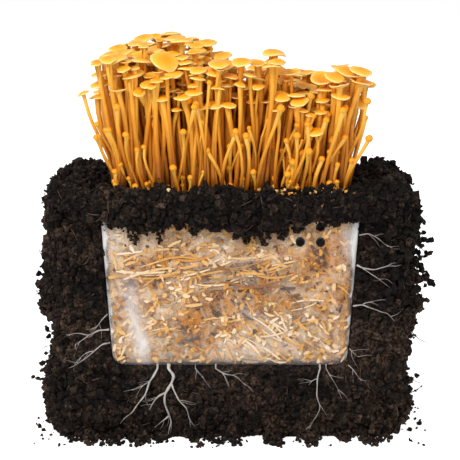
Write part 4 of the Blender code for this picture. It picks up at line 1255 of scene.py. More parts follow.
soilPoints, soilQuads = makeSoilBody()
print("soil body made")
soilTree = BVHTree.FromPolygons(soilPoints.tolist(), soilQuads.tolist())
makeClusters(soilPoints, soilQuads)
makeFilmCrumbs()
print("crumbs on the outline and the film made")


# Mushrooms

capProfiles = {
    # (share of the cap's radius, height as a share of it), from the neck under the cap to the top
    "dome": [(0.34, 0.0), (0.66, -0.02), (0.88, -0.035), (0.97, -0.02), (1.0, 0.03), (0.985, 0.08), (0.90, 0.14),
             (0.74, 0.21), (0.52, 0.275), (0.26, 0.325)],
    "bowl": [(0.36, 0.07), (0.62, 0.17), (0.86, 0.28), (0.97, 0.34), (1.0, 0.39), (0.965, 0.425), (0.88, 0.42),
             (0.68, 0.34), (0.44, 0.24), (0.2, 0.18)],
    "knob": [(0.62, 0.05), (0.86, 0.22), (0.97, 0.48), (1.0, 0.75), (0.95, 1.0), (0.82, 1.24), (0.60, 1.44),
             (0.34, 1.57)],
}
capTops = {"dome": 0.34, "bowl": 0.165, "knob": 1.62}
underCounts = {"dome": 3, "bowl": 3, "knob": 2}  # rings of each profile that lie under the rim
mushroomShape = {
    # how much wider a stem is at its foot and at its neck, and how fast that falls along it
    "foot": (0.42, 14),
    "neck": (0.26, 16),
    "wander": 0.06,  # share by which the stem's radius swells and shrinks
    "capWave": (0.5, 1.6),  # range of the waviness of a cap's edge
}


def leaning(x, y):
    # a direction that leans from upright by x and y
    return unit(np.array([x, y, 1.0]))


def circlesRound(axes, across, angle):
    # unit steps to the points of a circle round each axis
    beyond = np.cross(axes, across)
    return across[:, None] * np.cos(angle)[None, :, None] + beyond[:, None] * np.sin(angle)[None, :, None]


def mushroomPart(path, stemRadius, axis, capRadius, kind, sides, chance):
    # rings round the stem's path, then round the cap's axis, out under it, over its rim and up to its top
    tint = chance.random()
    count = len(path)
    share = np.linspace(0, 1, count)
    ahead = unit(np.gradient(path, axis=0))
    ahead[0] = (0, 0, 1)
    ahead[-1] = axis
    (footMore, footFall), (neckMore, neckFall) = mushroomShape["foot"], mushroomShape["neck"]
    flare = 0.93 + footMore * np.exp(-share * footFall) + neckMore * np.exp(-(1 - share) * neckFall)
    wander = 1 + mushroomShape["wander"] * np.sin(share * chance.uniform(6, 13) + chance.uniform(0, 6))
    stemRadii = stemRadius * flare * wander
    profile = np.array(capProfiles[kind])
    capCentres = path[-1] + axis * (profile[:, 1:] * capRadius)
    centres = np.concatenate([path, capCentres])
    axes = np.concatenate([ahead, np.tile(axis, (len(profile), 1))])
    radii = np.concatenate([stemRadii, np.maximum(profile[:, 0] * capRadius, stemRadii[-1])])
    angle = 2 * math.pi * np.arange(sides) / sides
    outness = np.concatenate([np.zeros(count), profile[:, 0] ** 3])[:, None]
    first, second = chance.uniform(0, 6, 2)
    wave = 0.0 if kind == "knob" else chance.uniform(*mushroomShape["capWave"])
    lobes = 1 + outness * wave * (0.06 * np.sin(2 * angle + first) + 0.035 * np.sin(5 * angle + second))[None]
    heights = outness * wave * capRadius * (0.07 * np.sin(2 * angle + second)
                                            + 0.03 * np.sin(3 * angle + first))
    rim = circlesRound(axes, unit(np.array([1.0, 0, 0]) - axes * axes[:, :1]), angle)
    points = centres[:, None] + rim * (radii[:, None] * lobes)[..., None] + axes[:, None] * heights[..., None]
    rings = len(centres)
    tip = path[-1] + axis * capRadius * capTops[kind]
    points = np.concatenate([points.reshape(-1, 3), [path[0], tip]])
    faces = closedFaces(rings, sides)
    under = underCounts[kind]
    top = np.concatenate([np.zeros(count), np.full(under, 0.5), np.ones(len(profile) - under)])
    edge = np.concatenate([np.zeros(count), profile[:, 0] * (0.45 if kind == "knob" else 1.0)])
    rise = np.concatenate([share, np.ones(len(profile))])
    perPoint = [np.concatenate([np.repeat(v, sides), [v[0], 1.0 if v is not edge else 0.0]])
                for v in (top, edge, rise)]
    values = dict(zip(("top", "edge", "rise"), perPoint))
    values["tint"] = np.full(len(points), tint)
    row, column = faces // sides, faces % sides
    wraps = (column.max(axis=1) == sides - 1) & (column.min(axis=1) == 0)
    turn = (column + np.where(wraps[:, None] & (column == 0), sides, 0)) / sides
    uv = np.stack([turn, row / rings * np.linalg.norm(path[-1] - path[0]) / (20 * mm)], axis=-1)
    return points, faces, values, uv


def ringLevels(count, edges, start):
    # how many edges lie between each point and the starting ones
    level = np.full(count, 99)
    level[start] = 0
    for _ in range(14):
        for a, b in (edges.T, edges.T[::-1]):
            np.minimum.at(level, b, level[a] + 1)
    return level


def readMushroom(node):
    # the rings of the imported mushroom: its stem's curve, its cap's axis, radius and kind
    _, points, edges = plainMesh(node)
    level = ringLevels(len(points), edges, np.flatnonzero(points[:, 2] < points[:, 2].min() + 0.02 * mm))
    rings = [points[level == n] for n in range(level.max() + 1)]
    centres = np.array([ring.mean(axis=0) for ring in rings])
    radii = np.array([np.linalg.norm(ring - centre, axis=1).mean() for ring, centre in zip(rings, centres)])
    axis = unit(centres[-1] - centres[3])
    capRadius = radii[4:-1].max()
    height = ((centres[4:-1][np.argmax(radii[4:-1])] - centres[3]) @ axis) / capRadius
    kind = "knob" if height > 0.6 or (centres[-1] - centres[3]) @ axis > capRadius else (
        "bowl" if height > 0.2 else "dome")
    curve = np.stack([np.polyfit([0, 0.4, 0.8, 1.0], centres[:4, n], 3) for n in range(3)], axis=1)
    return curve, radii[1] / 0.95, axis, capRadius, kind


clumpShape = {
    "stemRings": 15,
    "sides": 16,
    "youngSides": 9,
    "fillCount": 330,
    "fillCap": (3.2 * mm, 7.4 * mm),  # cap radii
    "fillStem": (0.9 * mm, 1.75 * mm),
    "capRoom": 0.57,  # share of two caps' radii that their middles keep apart
    "sideBelly": 4.5 * mm,  # how far the outermost stems bow out
    "sway": 2.8 * mm,
    "bowlShare": 0.25,
    "spread": 0.13,  # how much wider the clump is at its caps than at its foot
    "neckReach": 9 * mm,  # packed mushrooms this near set the height of a filling one
    "fillHeight": (1.05, 0.38),  # most share of that height, and how far it may fall short
    "backing": 110,  # slender ones in the back half
    "backCap": (2.4, 4.0),  # mm, their caps' radii
    "coreShade": 0.58,  # painted shade: how much darker the stems in the middle of the clump are painted
    "pinCount": 240,
    "pinHeights": (5, 8, 12, 18, 26, 34, 42, 50, 58),  # mm
    "matColumns": (60, 36, 6),
    "matRings": 26,
    "matLumps": (3.4 * mm, 1.6 * mm),  # size and height of each layer of relief
    "matSwell": (9 * mm, 0.9 * mm),
}


def makeMushrooms():
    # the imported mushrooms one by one, each with a slight sway of its stem: one sine times another
    chance = np.random.default_rng(seeds["clump"])
    grown = []
    for name in sorted(n for n in nodes if n.startswith("mushroom_")):
        curve, stemRadius, axis, capRadius, kind = readMushroom(nodes[name])
        t = np.linspace(0, 1, clumpShape["stemRings"])
        path = np.stack([np.polyval(curve[:, n], t) for n in range(3)], axis=1)
        path[0, 2] -= 0.25 * mm
        sway = chance.uniform(-1, 1, 2) * clumpShape["sway"]
        path[:, :2] += (np.sin(2 * math.pi * t) * np.sin(math.pi * t))[:, None] * sway
        part = mushroomPart(path, stemRadius, axis, capRadius, kind, clumpShape["sides"], chance)
        addJoined(name.replace("mushroom", "enoki"), [part], fleshSkin, replaced=[name])
        grown.append((path[0], path[-1], axis, capRadius))
    return grown


def readYoung():
    # the young ones that stand on the mat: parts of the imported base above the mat's top
    _, points, edges = plainMesh(nodes["clump_base"])
    heights, counts = np.unique(np.round(points[:, 2], 5), return_counts=True)
    matTop = heights[np.argmax(counts)]
    above = points[:, 2] > matTop + 0.3 * mm
    label = np.arange(len(points))
    within = edges[above[edges].all(axis=1)]
    for _ in range(12):
        for a, b in (within.T, within.T[::-1]):
            np.minimum.at(label, b, label[a])
    young = []
    for number in np.unique(label[above]):
        own = np.flatnonzero((label == number) & above)
        tip = own[np.argmax(points[own, 2])]
        level = ringLevels(len(points), within, [tip])
        rim, neck = own[level[own] == 1], own[level[own] == 2]
        if len(rim) < 3 or len(neck) < 3:
            continue
        crossing = edges[np.isin(edges, neck).any(axis=1) & ~above[edges].all(axis=1)]
        foot = points[np.unique(crossing[~above[crossing]])].mean(axis=0)
        centre, rimCentre = points[neck].mean(axis=0), points[rim].mean(axis=0)
        capRadius = np.linalg.norm(points[rim] - rimCentre, axis=1).mean()
        stemRadius = np.linalg.norm(points[neck] - centre, axis=1).mean()
        axis = unit(points[tip] - centre)
        kind = "knob" if np.linalg.norm(points[tip] - centre) > capRadius else "dome"
        young.append((foot, centre, axis, capRadius, stemRadius, kind))
    return young, points[points[:, 2] < matTop + 0.1 * mm], matTop


def bowedPath(foot, neck, axis, bow, count, secondBow=None):
    # a cubic curve that leaves the foot upright, meets the cap along its axis and is pushed aside between
    t = np.linspace(0, 1, count)[:, None]
    length = np.linalg.norm(neck - foot)
    first = foot + np.array([0, 0, 0.36 * length]) + bow
    second = neck - axis * 0.3 * length + (bow if secondBow is None else secondBow)
    return foot * (1 - t) ** 3 + 3 * first * (1 - t) ** 2 * t + 3 * second * (1 - t) * t**2 + neck * t**3


def makeClumpBase():
    # the mat as a lumpy grid with a skirt, and the young ones that grow from it
    chance = np.random.default_rng(seeds["clump"] + 1)
    young, mat, matTop = readYoung()
    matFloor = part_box("clump_base")[0][2]
    halfX, halfY = np.abs(mat[:, 0]).max(), 0.5 * (mat[:, 1].max() - mat[:, 1].min())
    middleY = 0.5 * (mat[:, 1].max() + mat[:, 1].min())
    rings = []
    for share in np.linspace(0.06, 1.0, clumpShape["matRings"]):
        loop = roundedLoop(halfX * share, halfY * share, 9 * mm * share, clumpShape["matColumns"])
        rings.append(placedLoop(loop, 0, middleY, matTop))
    skirt = rings[-1].copy()
    skirt[:, 2] = matFloor
    top = np.concatenate(rings[::-1])
    (lumpSize, lumpHeight), (swellSize, swellHeight) = clumpShape["matLumps"], clumpShape["matSwell"]
    top[:, 2] += (lumpHeight * (0.6 - cellNoise(top, lumpSize, seeds["clump"]))
                  + swellHeight * smoothNoise(top, swellSize, 3))
    points = np.concatenate([skirt, top, [[0, middleY, matFloor], [0, middleY, matTop]]])
    addPiece("clump_mat", points, closedFaces(len(rings) + 1, len(rings[0])), matSkin,
             replaced=["clump_base"])
    parts = []
    for foot, neck, axis, capRadius, stemRadius, kind in young:
        foot = foot - np.array([0, 0, 1.0 * mm])
        bow = np.append(chance.uniform(-1.6, 1.6, 2), 0) * mm
        path = bowedPath(foot, neck, axis, bow, 9)
        parts.append(mushroomPart(path, stemRadius * 1.05, axis, capRadius, kind, clumpShape["youngSides"],
                                  chance))
    addJoined("young_enoki", parts, fleshSkin)
    return matTop, (halfX, halfY, middleY)


def shadedPart(part, x, y, matSize):
    # painted shade: the stem's tone lowered towards the middle of the clump, where the stems shade each other
    halfX, halfY, middleY = matSize
    core = max(0, 1 - abs(x / halfX) ** 4) * max(0, 1 - abs((y - middleY) / halfY) ** 3)
    part[2]["rise"] = part[2]["rise"] * (1 - clumpShape["coreShade"] * core)
    return part


def fillBetween(chance, grown, necks, matTop, matSize):
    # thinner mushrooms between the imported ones, kept where no two caps come too near; each is as high as the
    # packed ones near it, whose heights are weighed by a bell curve, less a random share
    halfX, halfY, middleY = matSize
    caps = [(neck + axis * 0.2 * capRadius, capRadius) for _, neck, axis, capRadius in grown]
    most, short = clumpShape["fillHeight"]
    parts = []
    tries = 0
    while len(parts) < clumpShape["fillCount"] and tries < 9000:
        tries += 1
        x = chance.uniform(-1, 1) * (halfX - 2 * mm)
        y = middleY + (chance.random() ** 1.3 * 2 - 1) * (halfY - 2.5 * mm)
        spread = 1 + clumpShape["spread"] * (1 - abs(y - middleY) / (3 * halfY))
        ahead = np.hypot(necks[:, 0] - x * spread, 0.6 * (necks[:, 1] - y))
        weight = np.exp(-(ahead / clumpShape["neckReach"]) ** 2) + 1e-9
        tall = (weight * necks[:, 2]).sum() / weight.sum()
        height = (tall - matTop) * (most - short * chance.random() ** 2.0) + chance.uniform(-2, 2) * mm
        axis = leaning(chance.uniform(-0.18, 0.18) + x * 1.2, chance.uniform(-0.42, 0.06))
        capRadius = chance.uniform(*clumpShape["fillCap"])
        foot = np.array([x, y, matTop - 1 * mm])
        neck = np.array([x * spread + chance.uniform(-6, 6) * mm,
                         middleY + (y - middleY) * spread + chance.uniform(-3, 3) * mm, matTop + height])
        centre = neck + axis * 0.2 * capRadius
        apart = np.linalg.norm((np.array([place for place, _ in caps]) - centre) * (1, 1, 2.4), axis=1)
        if (apart < clumpShape["capRoom"] * (capRadius + np.array([radius for _, radius in caps]))).any():
            continue
        caps.append((centre, capRadius))
        bow, secondBow = np.append(chance.uniform(-6, 6, (2, 2)), [[0], [0]], axis=1) * mm
        bow[0] += clumpShape["sideBelly"] * (x / halfX) ** 3
        path = bowedPath(foot, neck, axis, bow, 7, secondBow)
        grownOne = mushroomPart(path, chance.uniform(*clumpShape["fillStem"]), axis, capRadius,
                                "bowl" if chance.random() < clumpShape["bowlShare"] else "dome",
                                10 if capRadius > 5 * mm else 8, chance)
        # painted shade: darker stems towards the clump's middle
        parts.append(shadedPart(grownOne, x, y, matSize))
    return parts


def fillBehind(chance, necks, matTop, matSize):
    # slender ones in the back half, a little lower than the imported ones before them
    halfX, halfY, middleY = matSize
    parts = []
    for _ in range(clumpShape["backing"]):
        x, y = chance.uniform(-0.92, 0.92) * halfX, middleY + chance.uniform(0.05, 0.85) * halfY
        tall = np.interp(x, *np.array(sorted((neck[0], neck[2]) for neck in necks)).T)
        foot = np.array([x, y, matTop - 1 * mm])
        neck = np.array([x * 1.1, y, matTop + (tall - matTop) * chance.uniform(0.66, 0.95)])
        axis = leaning(chance.uniform(-0.2, 0.2), chance.uniform(-0.3, 0.1))
        bow = np.append(chance.uniform(-5, 5, 2), 0) * mm
        slender = mushroomPart(bowedPath(foot, neck, axis, bow, 6), chance.uniform(*clumpShape["fillStem"]),
                               axis, chance.uniform(*clumpShape["backCap"]) * mm, "dome", 7, chance)
        # painted shade: darker stems towards the clump's middle
        parts.append(shadedPart(slender, x, y, matSize))
    return parts


def pinsOf(chance, matTop, matSize):
    # short ones with round heads, more of them towards the front
    halfX, halfY, middleY = matSize
    pins = []
    for _ in range(clumpShape["pinCount"]):
        x = chance.uniform(-1, 1) * (halfX - 1.5 * mm)
        y = middleY + (chance.random() ** 2.2 * 2 - 1) * (halfY - 1.5 * mm)
        height = chance.choice(clumpShape["pinHeights"]) * chance.uniform(0.8, 1.2) * mm
        axis = leaning(chance.uniform(-0.26, 0.26) + x * 2.2, chance.uniform(-0.30, 0.05))
        foot = np.array([x, y, matTop - 0.8 * mm])
        neck = foot + axis * height
        stemRadius = chance.uniform(0.75, 1.3) * mm
        path = bowedPath(foot, neck, axis, np.append(chance.uniform(-0.14, 0.14, 2), 0) * height, 6)
        pins.append(mushroomPart(path, stemRadius, axis, stemRadius * chance.uniform(1.6, 2.2), "knob", 6,
                                 chance))
    return pins


def makeFill(grown, matTop, matSize):
    chance = np.random.default_rng(seeds["clump"] + 2)
    necks = np.array([neck for _, neck, _, _ in grown])
    parts = fillBetween(chance, grown, necks, matTop, matSize)
    print(len(parts), "filling mushrooms")
    parts += fillBehind(chance, necks, matTop, matSize)
    addJoined("filling_enoki", parts, fleshSkin)
    addJoined("enoki_pins", pinsOf(chance, matTop, matSize), fleshSkin)


grownOnes = makeMushrooms()
print(len(grownOnes), "mushrooms made")
matTop, matSize = makeClumpBase()
makeFill(grownOnes, matTop, matSize)
print("clump made")


# Threads of mycelium over the cut face

threadShape = {
    "rootWidth": 1.15 * mm,
    "sides": 6,
    "step": 1.2 * mm,
    "hairs": 7,  # fine side hairs per thread
    "lift": 2.4 * mm,  # how far their middles lie before the soil, clear of its crumbs
    "filmHeights": (1.8, 1.0, 0.3),  # mm above the bag's floor, where those from the bottom start on the film
    "branchShare": 0.62,  # of the main thread's radius
    "hairRadius": 0.17 * mm,
    "least": 0.10 * mm,
}
# Each thread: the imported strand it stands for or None, where it leaves the bag (edge, share along it),
# steps in mm (across, up), its width against the usual one, then branches on numbered points
threadRoutes = [
    ("mycelium_strand_1", "bottom", 0.20, 1.9,
     [(0, 0), (3.6, -4.5), (1.6, -9.5), (-2.4, -15), (-2.4, -23), (0, -31), (1.6, -36), (0, -41)],
     [(3, [(-3.5, -2), (-8, -6.5), (-10, -11)]),
      (2, [(1.8, -5), (4.8, -10.5), (9, -14.7), (10.5, -22.5), (15, -29)]), (5, [(-3, -2.5), (-6.5, -6)])]),
    ("mycelium_strand_2", "bottom", 0.145, 1.25,
     [(0, 0), (-5, -8), (-6.8, -14.8), (-13.2, -23.5), (-16, -28), (-24, -36)], [(1, [(-6, -3.5), (-11, -6)])]),
    ("mycelium_strand_3", "bottom", 0.43, 0.9, [(0, 0), (4.4, -3), (11.5, -3.8), (17.6, -10)],
     [(1, [(2, -3.8), (4, -8)])]),
    ("mycelium_strand_4", "bottom", 0.94, 1.0,
     [(0, 0), (-1.8, -6.4), (-1.8, -16.5), (0.4, -24.6), (-2.8, -32), (-6, -40)], [(1, [(-3, -1.5), (-5, -4)])]),
    ("mycelium_strand_5", "left", 0.235, 1.0, [(0, 0), (-6, -0.4), (-12.5, -3.4), (-19, -2), (-27, -3.4)],
     [(2, [(-4, -3), (-8.5, -6.4)])]),
    ("mycelium_strand_6", "left", 0.155, 0.9,
     [(0, 0), (-5, -1), (-10, -5), (-15.5, -10.4), (-21, -13), (-26, -16.5)], [(2, [(-5, -1), (-9, -5)])]),
    ("mycelium_strand_7", "right", 0.81, 0.8, [(0, 0), (5.2, 1), (11.6, -1.4), (17, -7)], []),
    ("mycelium_strand_8", "right", 0.63, 1.0, [(0, 0), (3.6, -1.9), (11, -2.6), (21.5, 0), (28, -0.8)],
     [(1, [(4, -2.6), (9, -6), (15.5, -11)])]),
    ("mycelium_strand_9", "right", 0.38, 0.9,
     [(0, 0), (6, 1.5), (11.5, -1.6), (17, -3.8), (21, -3.8), (26, -10)], [(1, [(4, 1.6), (8.5, 2.4)])]),
    (None, "left", 0.33, 0.6, [(0, 0), (-5, -5), (-11, -13)], []),
    (None, "bottom", 0.33, 0.5, [(0, 0), (3, -4), (5, -5)], []),
    (None, "bottom", 0.97, 0.6, [(0, 0), (4, -6), (7, -13)], []),
    (None, "right", 0.02, 0.6, [(0, 0), (3, -3), (8, -9)], []),
    (None, "right", 0.12, 0.5, [(0, 0), (5, -5)], []),
]


def threadRoot(edge, share):
    # where a thread starts at the bag's edge: across, up
    out = 0.6 * mm
    if edge == "bottom":
        half = bagHalfWidth(bagLow[2]) - bagShape["footRadius"]
        return np.array([half * (2 * share - 1), bagLow[2] - out])
    z = bagLow[2] + share * (bagHigh[2] - bagLow[2])
    half = bagHalfWidth(z) + out
    return np.array([-half if edge == "left" else half, z])


def laidPath(route, chance):
    # the route as a smooth curve of even steps with a slight wander, on the soil's cut face
    route = np.asarray(route)
    lengths = np.concatenate([[0], np.cumsum(np.linalg.norm(np.diff(route, axis=0), axis=1))])
    count = max(4, int(lengths[-1] / threadShape["step"]))
    along = np.linspace(0, lengths[-1], count)
    fine = np.stack([np.interp(along, lengths, route[:, n]) for n in range(2)], axis=1)
    for _ in range(2):
        fine[1:-1] = 0.25 * fine[:-2] + 0.5 * fine[1:-1] + 0.25 * fine[2:]
    wander = np.stack([np.sin(along / (3.1 * mm) + chance.uniform(0, 6)),
                       np.sin(along / (2.3 * mm) + chance.uniform(0, 6))], axis=1)
    fine = fine + wander * 0.35 * mm * (along / lengths[-1])[:, None] ** 0.5
    fine[:, 1] = np.maximum(fine[:, 1], 2.5 * mm)
    hits = [soilHit((x, -1.0, z), (0, 1, 0)) for x, z in fine]
    depths = np.array([np.nan if hit is None else hit.y for hit in hits])
    kept = ~np.isnan(depths)
    fine, depths = fine[kept], depths[kept]
    padded = np.pad(depths, 2, mode="edge")
    smooth = np.mean([padded[n:n + len(depths)] for n in range(5)], axis=0)
    front = np.minimum(smooth, depths + 0.4 * mm) - threadShape["lift"]
    return np.column_stack([fine[:, 0], front, fine[:, 1]])


def tubePart(path, radii, sides, tint, fade=None):
    # rings round a path, closed to a point at both ends
    ahead = unit(np.gradient(path, axis=0))
    across = unit(np.cross(ahead, [0.13, 1.0, 0.07]))
    rim = circlesRound(ahead, across, 2 * math.pi * np.arange(sides) / sides)
    points = (path[:, None] + rim * radii[:, None, None]).reshape(-1, 3)
    points = np.concatenate([points, [path[0], path[-1]]])
    faces = closedFaces(len(path), sides)
    fade = np.zeros(len(path)) if fade is None else fade
    fades = np.concatenate([np.repeat(fade, sides), [fade[0], fade[-1]]])
    return points, faces, {"tint": np.full(len(points), tint), "fade": fades}, None


def taperingTube(path, radius, endShare, chance, fades):
    # thinner and darker towards its end, with slight knobs
    share = np.linspace(0, 1, len(path))
    knobs = 1 + 0.18 * np.sin(share * len(path) * 0.9 + chance.uniform(0, 6))
    radii = radius * (1 + (endShare - 1) * share**0.8) * knobs
    fade = fades[0] + (fades[1] - fades[0]) * share
    radii = np.maximum(radii, threadShape["least"])
    return tubePart(path, radii, threadShape["sides"], chance.random(), fade)


def makeThreads():
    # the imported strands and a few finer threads, each with branches and hairs; returns their lines
    chance = np.random.default_rng(seeds["threads"])
    loose, lines = [], []
    for strand, edge, share, width, steps, branches in threadRoutes:
        root = threadRoot(edge, share)
        route = root + np.array(steps) * mm
        radius = 0.5 * threadShape["rootWidth"] * width
        main = laidPath(route, chance)
        if edge == "bottom":
            heights = bagLow[2] + np.array(threadShape["filmHeights"]) * mm
            onFilm = bagFrontY + footInset(heights) - 0.3 * mm
            climb = np.linspace(0, 0.75, 3) ** 1.5
            depths = onFilm * (1 - climb) + main[0, 1] * climb
            main = np.concatenate([np.column_stack([np.full(3, main[0, 0]), depths, heights]), main])
        parts = [taperingTube(main, radius, 0.35, chance, (0.0, 0.6) if width > 1.1 else (0.28, 0.8))]
        stems = [main]
        for hang, offsets in branches:
            start = route[hang]
            side = np.concatenate([[start], start + np.array(offsets) * mm])
            path = laidPath(side, chance)
            parts.append(taperingTube(path, radius * threadShape["branchShare"], 0.3, chance, (0.2, 0.75)))
            stems.append(path)
        lines += stems
        for _ in range(int(threadShape["hairs"] * width)):
            stem = stems[chance.integers(0, len(stems))]
            spot = stem[chance.integers(len(stem) // 4, len(stem))]
            heading = chance.uniform(-0.9, 0.9) + math.atan2(*(stem[-1] - stem[0])[[2, 0]])
            length = chance.uniform(4, 12) * mm
            end = spot[[0, 2]] + length * np.array([math.cos(heading), math.sin(heading)])
            middle = 0.5 * (spot[[0, 2]] + end) + chance.uniform(-1.2, 1.2, 2) * mm
            path = laidPath([spot[[0, 2]], middle, end], chance)
            if len(path) > 4:
                parts.append(taperingTube(path, threadShape["hairRadius"], 0.5, chance, (0.35, 0.85)))
        if strand is None:
            loose += parts
        else:
            addJoined(strand.replace("strand", "thread"), parts, threadSkin, replaced=[strand])
    addJoined("fine_mycelium", loose, threadSkin)
    return np.concatenate(lines)[:, [0, 2]]


threadLine = makeThreads()
print("threads made")
makeCrumbs(soilPoints, soilQuads, threadLine)
print("soil crumbs made")


# Root fibres and loose crumbs round the outline

rootShape = {
    "surfaceFibres": 250,
    "fibreLength": (4, 13),  # mm
    "fibreRadius": (0.14, 0.32),
    "sideWisps": 92,
    "leftShare": 0.42,  # of the wisps
    "gathered": 0.58,  # share of them that gather round one height of their side
    "gatheredLeft": (52, 16),  # mm, that height and its spread
    "gatheredRight": (98, 17),
    "floorCrumbs": 150,
    "skirtCrumbs": 1000,
    "skirt": 17 * mm,  # how far those reach out from the front's foot
    "reach": 12 * mm,
    "frayed": (100 * mm, 24 * mm, 1.35),  # stretch of the right side: middle, half height, longer reach
    "strayCrumbs": 90,
    "heapCrumbs": (45, 95),
    "heapReach": 22 * mm,
    "heapHeight": 7 * mm,
    "heapSpread": 3.8 * mm,
    "heaps": (-0.088, -0.072, -0.055, -0.0198, 0.0035, 0.027, 0.050, 0.087),  # across, at the front foot
}


def footLine(across):
    # how far back the body's front meets the floor, from places a few millimetres apart
    places = np.linspace(soilLow[0] + 14 * mm, soilHigh[0] - 14 * mm, 70)
    hits = [soilHit((x, -1.0, 1.6 * mm), (0, 1, 0)) for x in places]
    return np.interp(across, places, [soilLow[1] + 10 * mm if hit is None else hit.y for hit in hits])


def makeRoots(chance, points, quads):
    # thin roots on the body's faces, and wisps out of its sides with crumbs on them; returns those crumbs
    def everywhere(place, normal):
        bare = insidePocket(place, 3 * mm) | (place[:, 2] < 2 * mm)
        return np.where(bare, 0.0, 1.0 + 3.0 * (normal[:, 1] < -0.5))
    parts = []
    place, normal = surfaceSpots(points, quads, chance, rootShape["surfaceFibres"], everywhere)
    for spot, out in zip(place, normal):
        heading = unit(np.cross(out, chance.normal(size=3)))
        length = chance.uniform(*rootShape["fibreLength"]) * mm
        bend = unit(np.cross(out, heading)) * length * chance.uniform(-0.35, 0.35)
        t = np.linspace(-0.5, 0.5, 6)[:, None]
        path = spot + out * 1.6 * mm + heading * length * t + bend * (0.25 - t * t) - out * 3 * mm * t * t * 4
        path[:, 2] = np.maximum(path[:, 2], 0.6 * mm)
        radius = chance.uniform(*rootShape["fibreRadius"]) * mm
        parts.append(tubePart(path, np.full(6, radius), 4, chance.random()))
    crumbCentres, crumbSizes = [], []
    frayedMiddle, frayedHalf, frayedReach = rootShape["frayed"]
    for _ in range(rootShape["sideWisps"]):
        side = -1 if chance.random() < rootShape["leftShare"] else 1
        z = chance.uniform(8, 145) * mm
        if chance.random() < rootShape["gathered"]:
            z = chance.normal(*rootShape["gatheredRight" if side > 0 else "gatheredLeft"]) * mm
        z = float(np.clip(z, 3 * mm, 150 * mm))
        y = chance.uniform(soilLow[1] + 14 * mm, soilHigh[1] - 25 * mm)
        hit = soilHit((side * 0.5, y, z), (-side, 0, 0))
        if hit is None:
            continue
        start = np.array(hit)
        frayed = side > 0 and abs(z - frayedMiddle) < frayedHalf
        reach = chance.uniform(0.45, 1.0) * rootShape["reach"] * (frayedReach if frayed else 1.0)
        end = start + np.array([side * reach, chance.uniform(-4, 4) * mm, chance.uniform(-0.9, 0.7) * reach])
        limit = (soilHigh[0] if side > 0 else -soilLow[0]) + 15 * mm
        end[0] = side * min(abs(end[0]), limit)
        t = np.linspace(0, 1, 7)[:, None]
        sway = chance.uniform(-2.5, 2.5, 3) * mm
        path = start * (1 - t) + end * t + sway * (t * (1 - t) * 4)
        path[:, 2] = np.maximum(path[:, 2], 0.8 * mm)
        parts.append(tubePart(path, np.linspace(0.34, 0.16, 7) * mm, 4, chance.random()))
        for spot in chance.uniform(0.35, 1.0, chance.integers(3, 9) if frayed else chance.integers(2, 6)):
            crumbCentres.append(start * (1 - spot) + end * spot + sway * (spot * (1 - spot) * 4))
            crumbSizes.append(chance.uniform(0.7, 2.6 if frayed else 2.0) * mm)
    addJoined("root_fibres", parts, rootSkin)
    return crumbCentres, crumbSizes


def makeLooseCrumbs(chance, wispCentres, wispSizes):
    # crumbs on the floor round the block, heaps and a skirt of crumbs at its front, and those on the wisps
    count = rootShape["floorCrumbs"]
    turn = chance.uniform(0, 2 * math.pi, count)
    halfX, halfY = 0.5 * (soilHigh[0] - soilLow[0]), 0.5 * (soilHigh[1] - soilLow[1])
    way = np.stack([np.cos(turn), np.sin(turn)], 1)
    square = way / np.abs(way).max(axis=1, keepdims=True)
    out = chance.random(count) ** 1.6
    floor = square * np.array([halfX - 9 * mm, halfY - 10 * mm]) + way * (out * 15 * mm)[:, None]
    floor[:, 1] += 0.5 * (soilHigh[1] + soilLow[1])
    size = chance.uniform(0.5, 1.9, count) * mm
    floorCentres = np.column_stack([floor, size * 0.55])
    heapCentres, heapSizes = [], []
    for middle in rootShape["heaps"]:
        for out in chance.random(chance.integers(*rootShape["heapCrumbs"])) ** 1.1:
            crumb = chance.uniform(0.9, 3.0) * mm * (1 - 0.35 * out)
            across = middle + chance.normal(0, rootShape["heapSpread"]) * (1 - 0.3 * out)
            heapCentres.append((across, float(footLine(across)) - rootShape["heapReach"] * out,
                                0.6 * crumb + rootShape["heapHeight"] * (1 - out) * chance.random()))
            heapSizes.append(crumb)
    count = rootShape["skirtCrumbs"]
    across = chance.uniform(soilLow[0] + 10 * mm, soilHigh[0] - 12 * mm, count)
    line = np.stack([across, across * 0, across * 0], 1)
    clumping = np.clip(0.5 + 1.2 * smoothNoise(line, 9 * mm, 7), 0.12, 1)
    away = rootShape["skirt"] * clumping * chance.random(count) ** 1.5
    skirtSizes = chance.uniform(0.6, 1.9, count) * mm
    rise = 4 * mm * np.clip(1 - away / (5 * mm), 0, 1) * chance.random(count)
    skirtCentres = np.column_stack([across, footLine(across) + 1 * mm - away, 0.6 * skirtSizes + rise])
    centres = np.concatenate([floorCentres, np.array(heapCentres), np.array(wispCentres), skirtCentres])
    sizes = np.concatenate([size, np.array(heapSizes), np.array(wispSizes), skirtSizes])
    addCrumbs("loose_crumbs", chance, centres, sizes, crumbTint(chance, centres))


def makeStrayStraw():
    # tan crumbs of the block that lie on the ridge
    chance = np.random.default_rng(seeds["roots"] + 1)
    count = rootShape["strayCrumbs"]
    gathered = chance.random(count) < 0.7
    x = np.where(gathered, chance.normal(0.042, 0.016, count), chance.uniform(-0.07, 0.08, count))
    y = chance.uniform(bagLow[1] - 5 * mm, bagLow[1] + 10 * mm, count)
    hits = [soilHit((px, py, 0.4), (0, 0, -1)) for px, py in zip(x, y)]
    tops = np.array([0.0 if hit is None else hit.z for hit in hits])
    size = chance.uniform(0.4, 1.3, count) * mm
    centres = np.column_stack([x, y, tops + 0.5 * size + 0.8 * mm])
    points, faces, values = crumbCloud(chance, centres, size, chance.uniform(0.12, 0.80, count))
    values["cool"] = np.zeros(len(points))
    addPiece("stray_straw", points, faces, strawSkin, smooth=False, values=values)


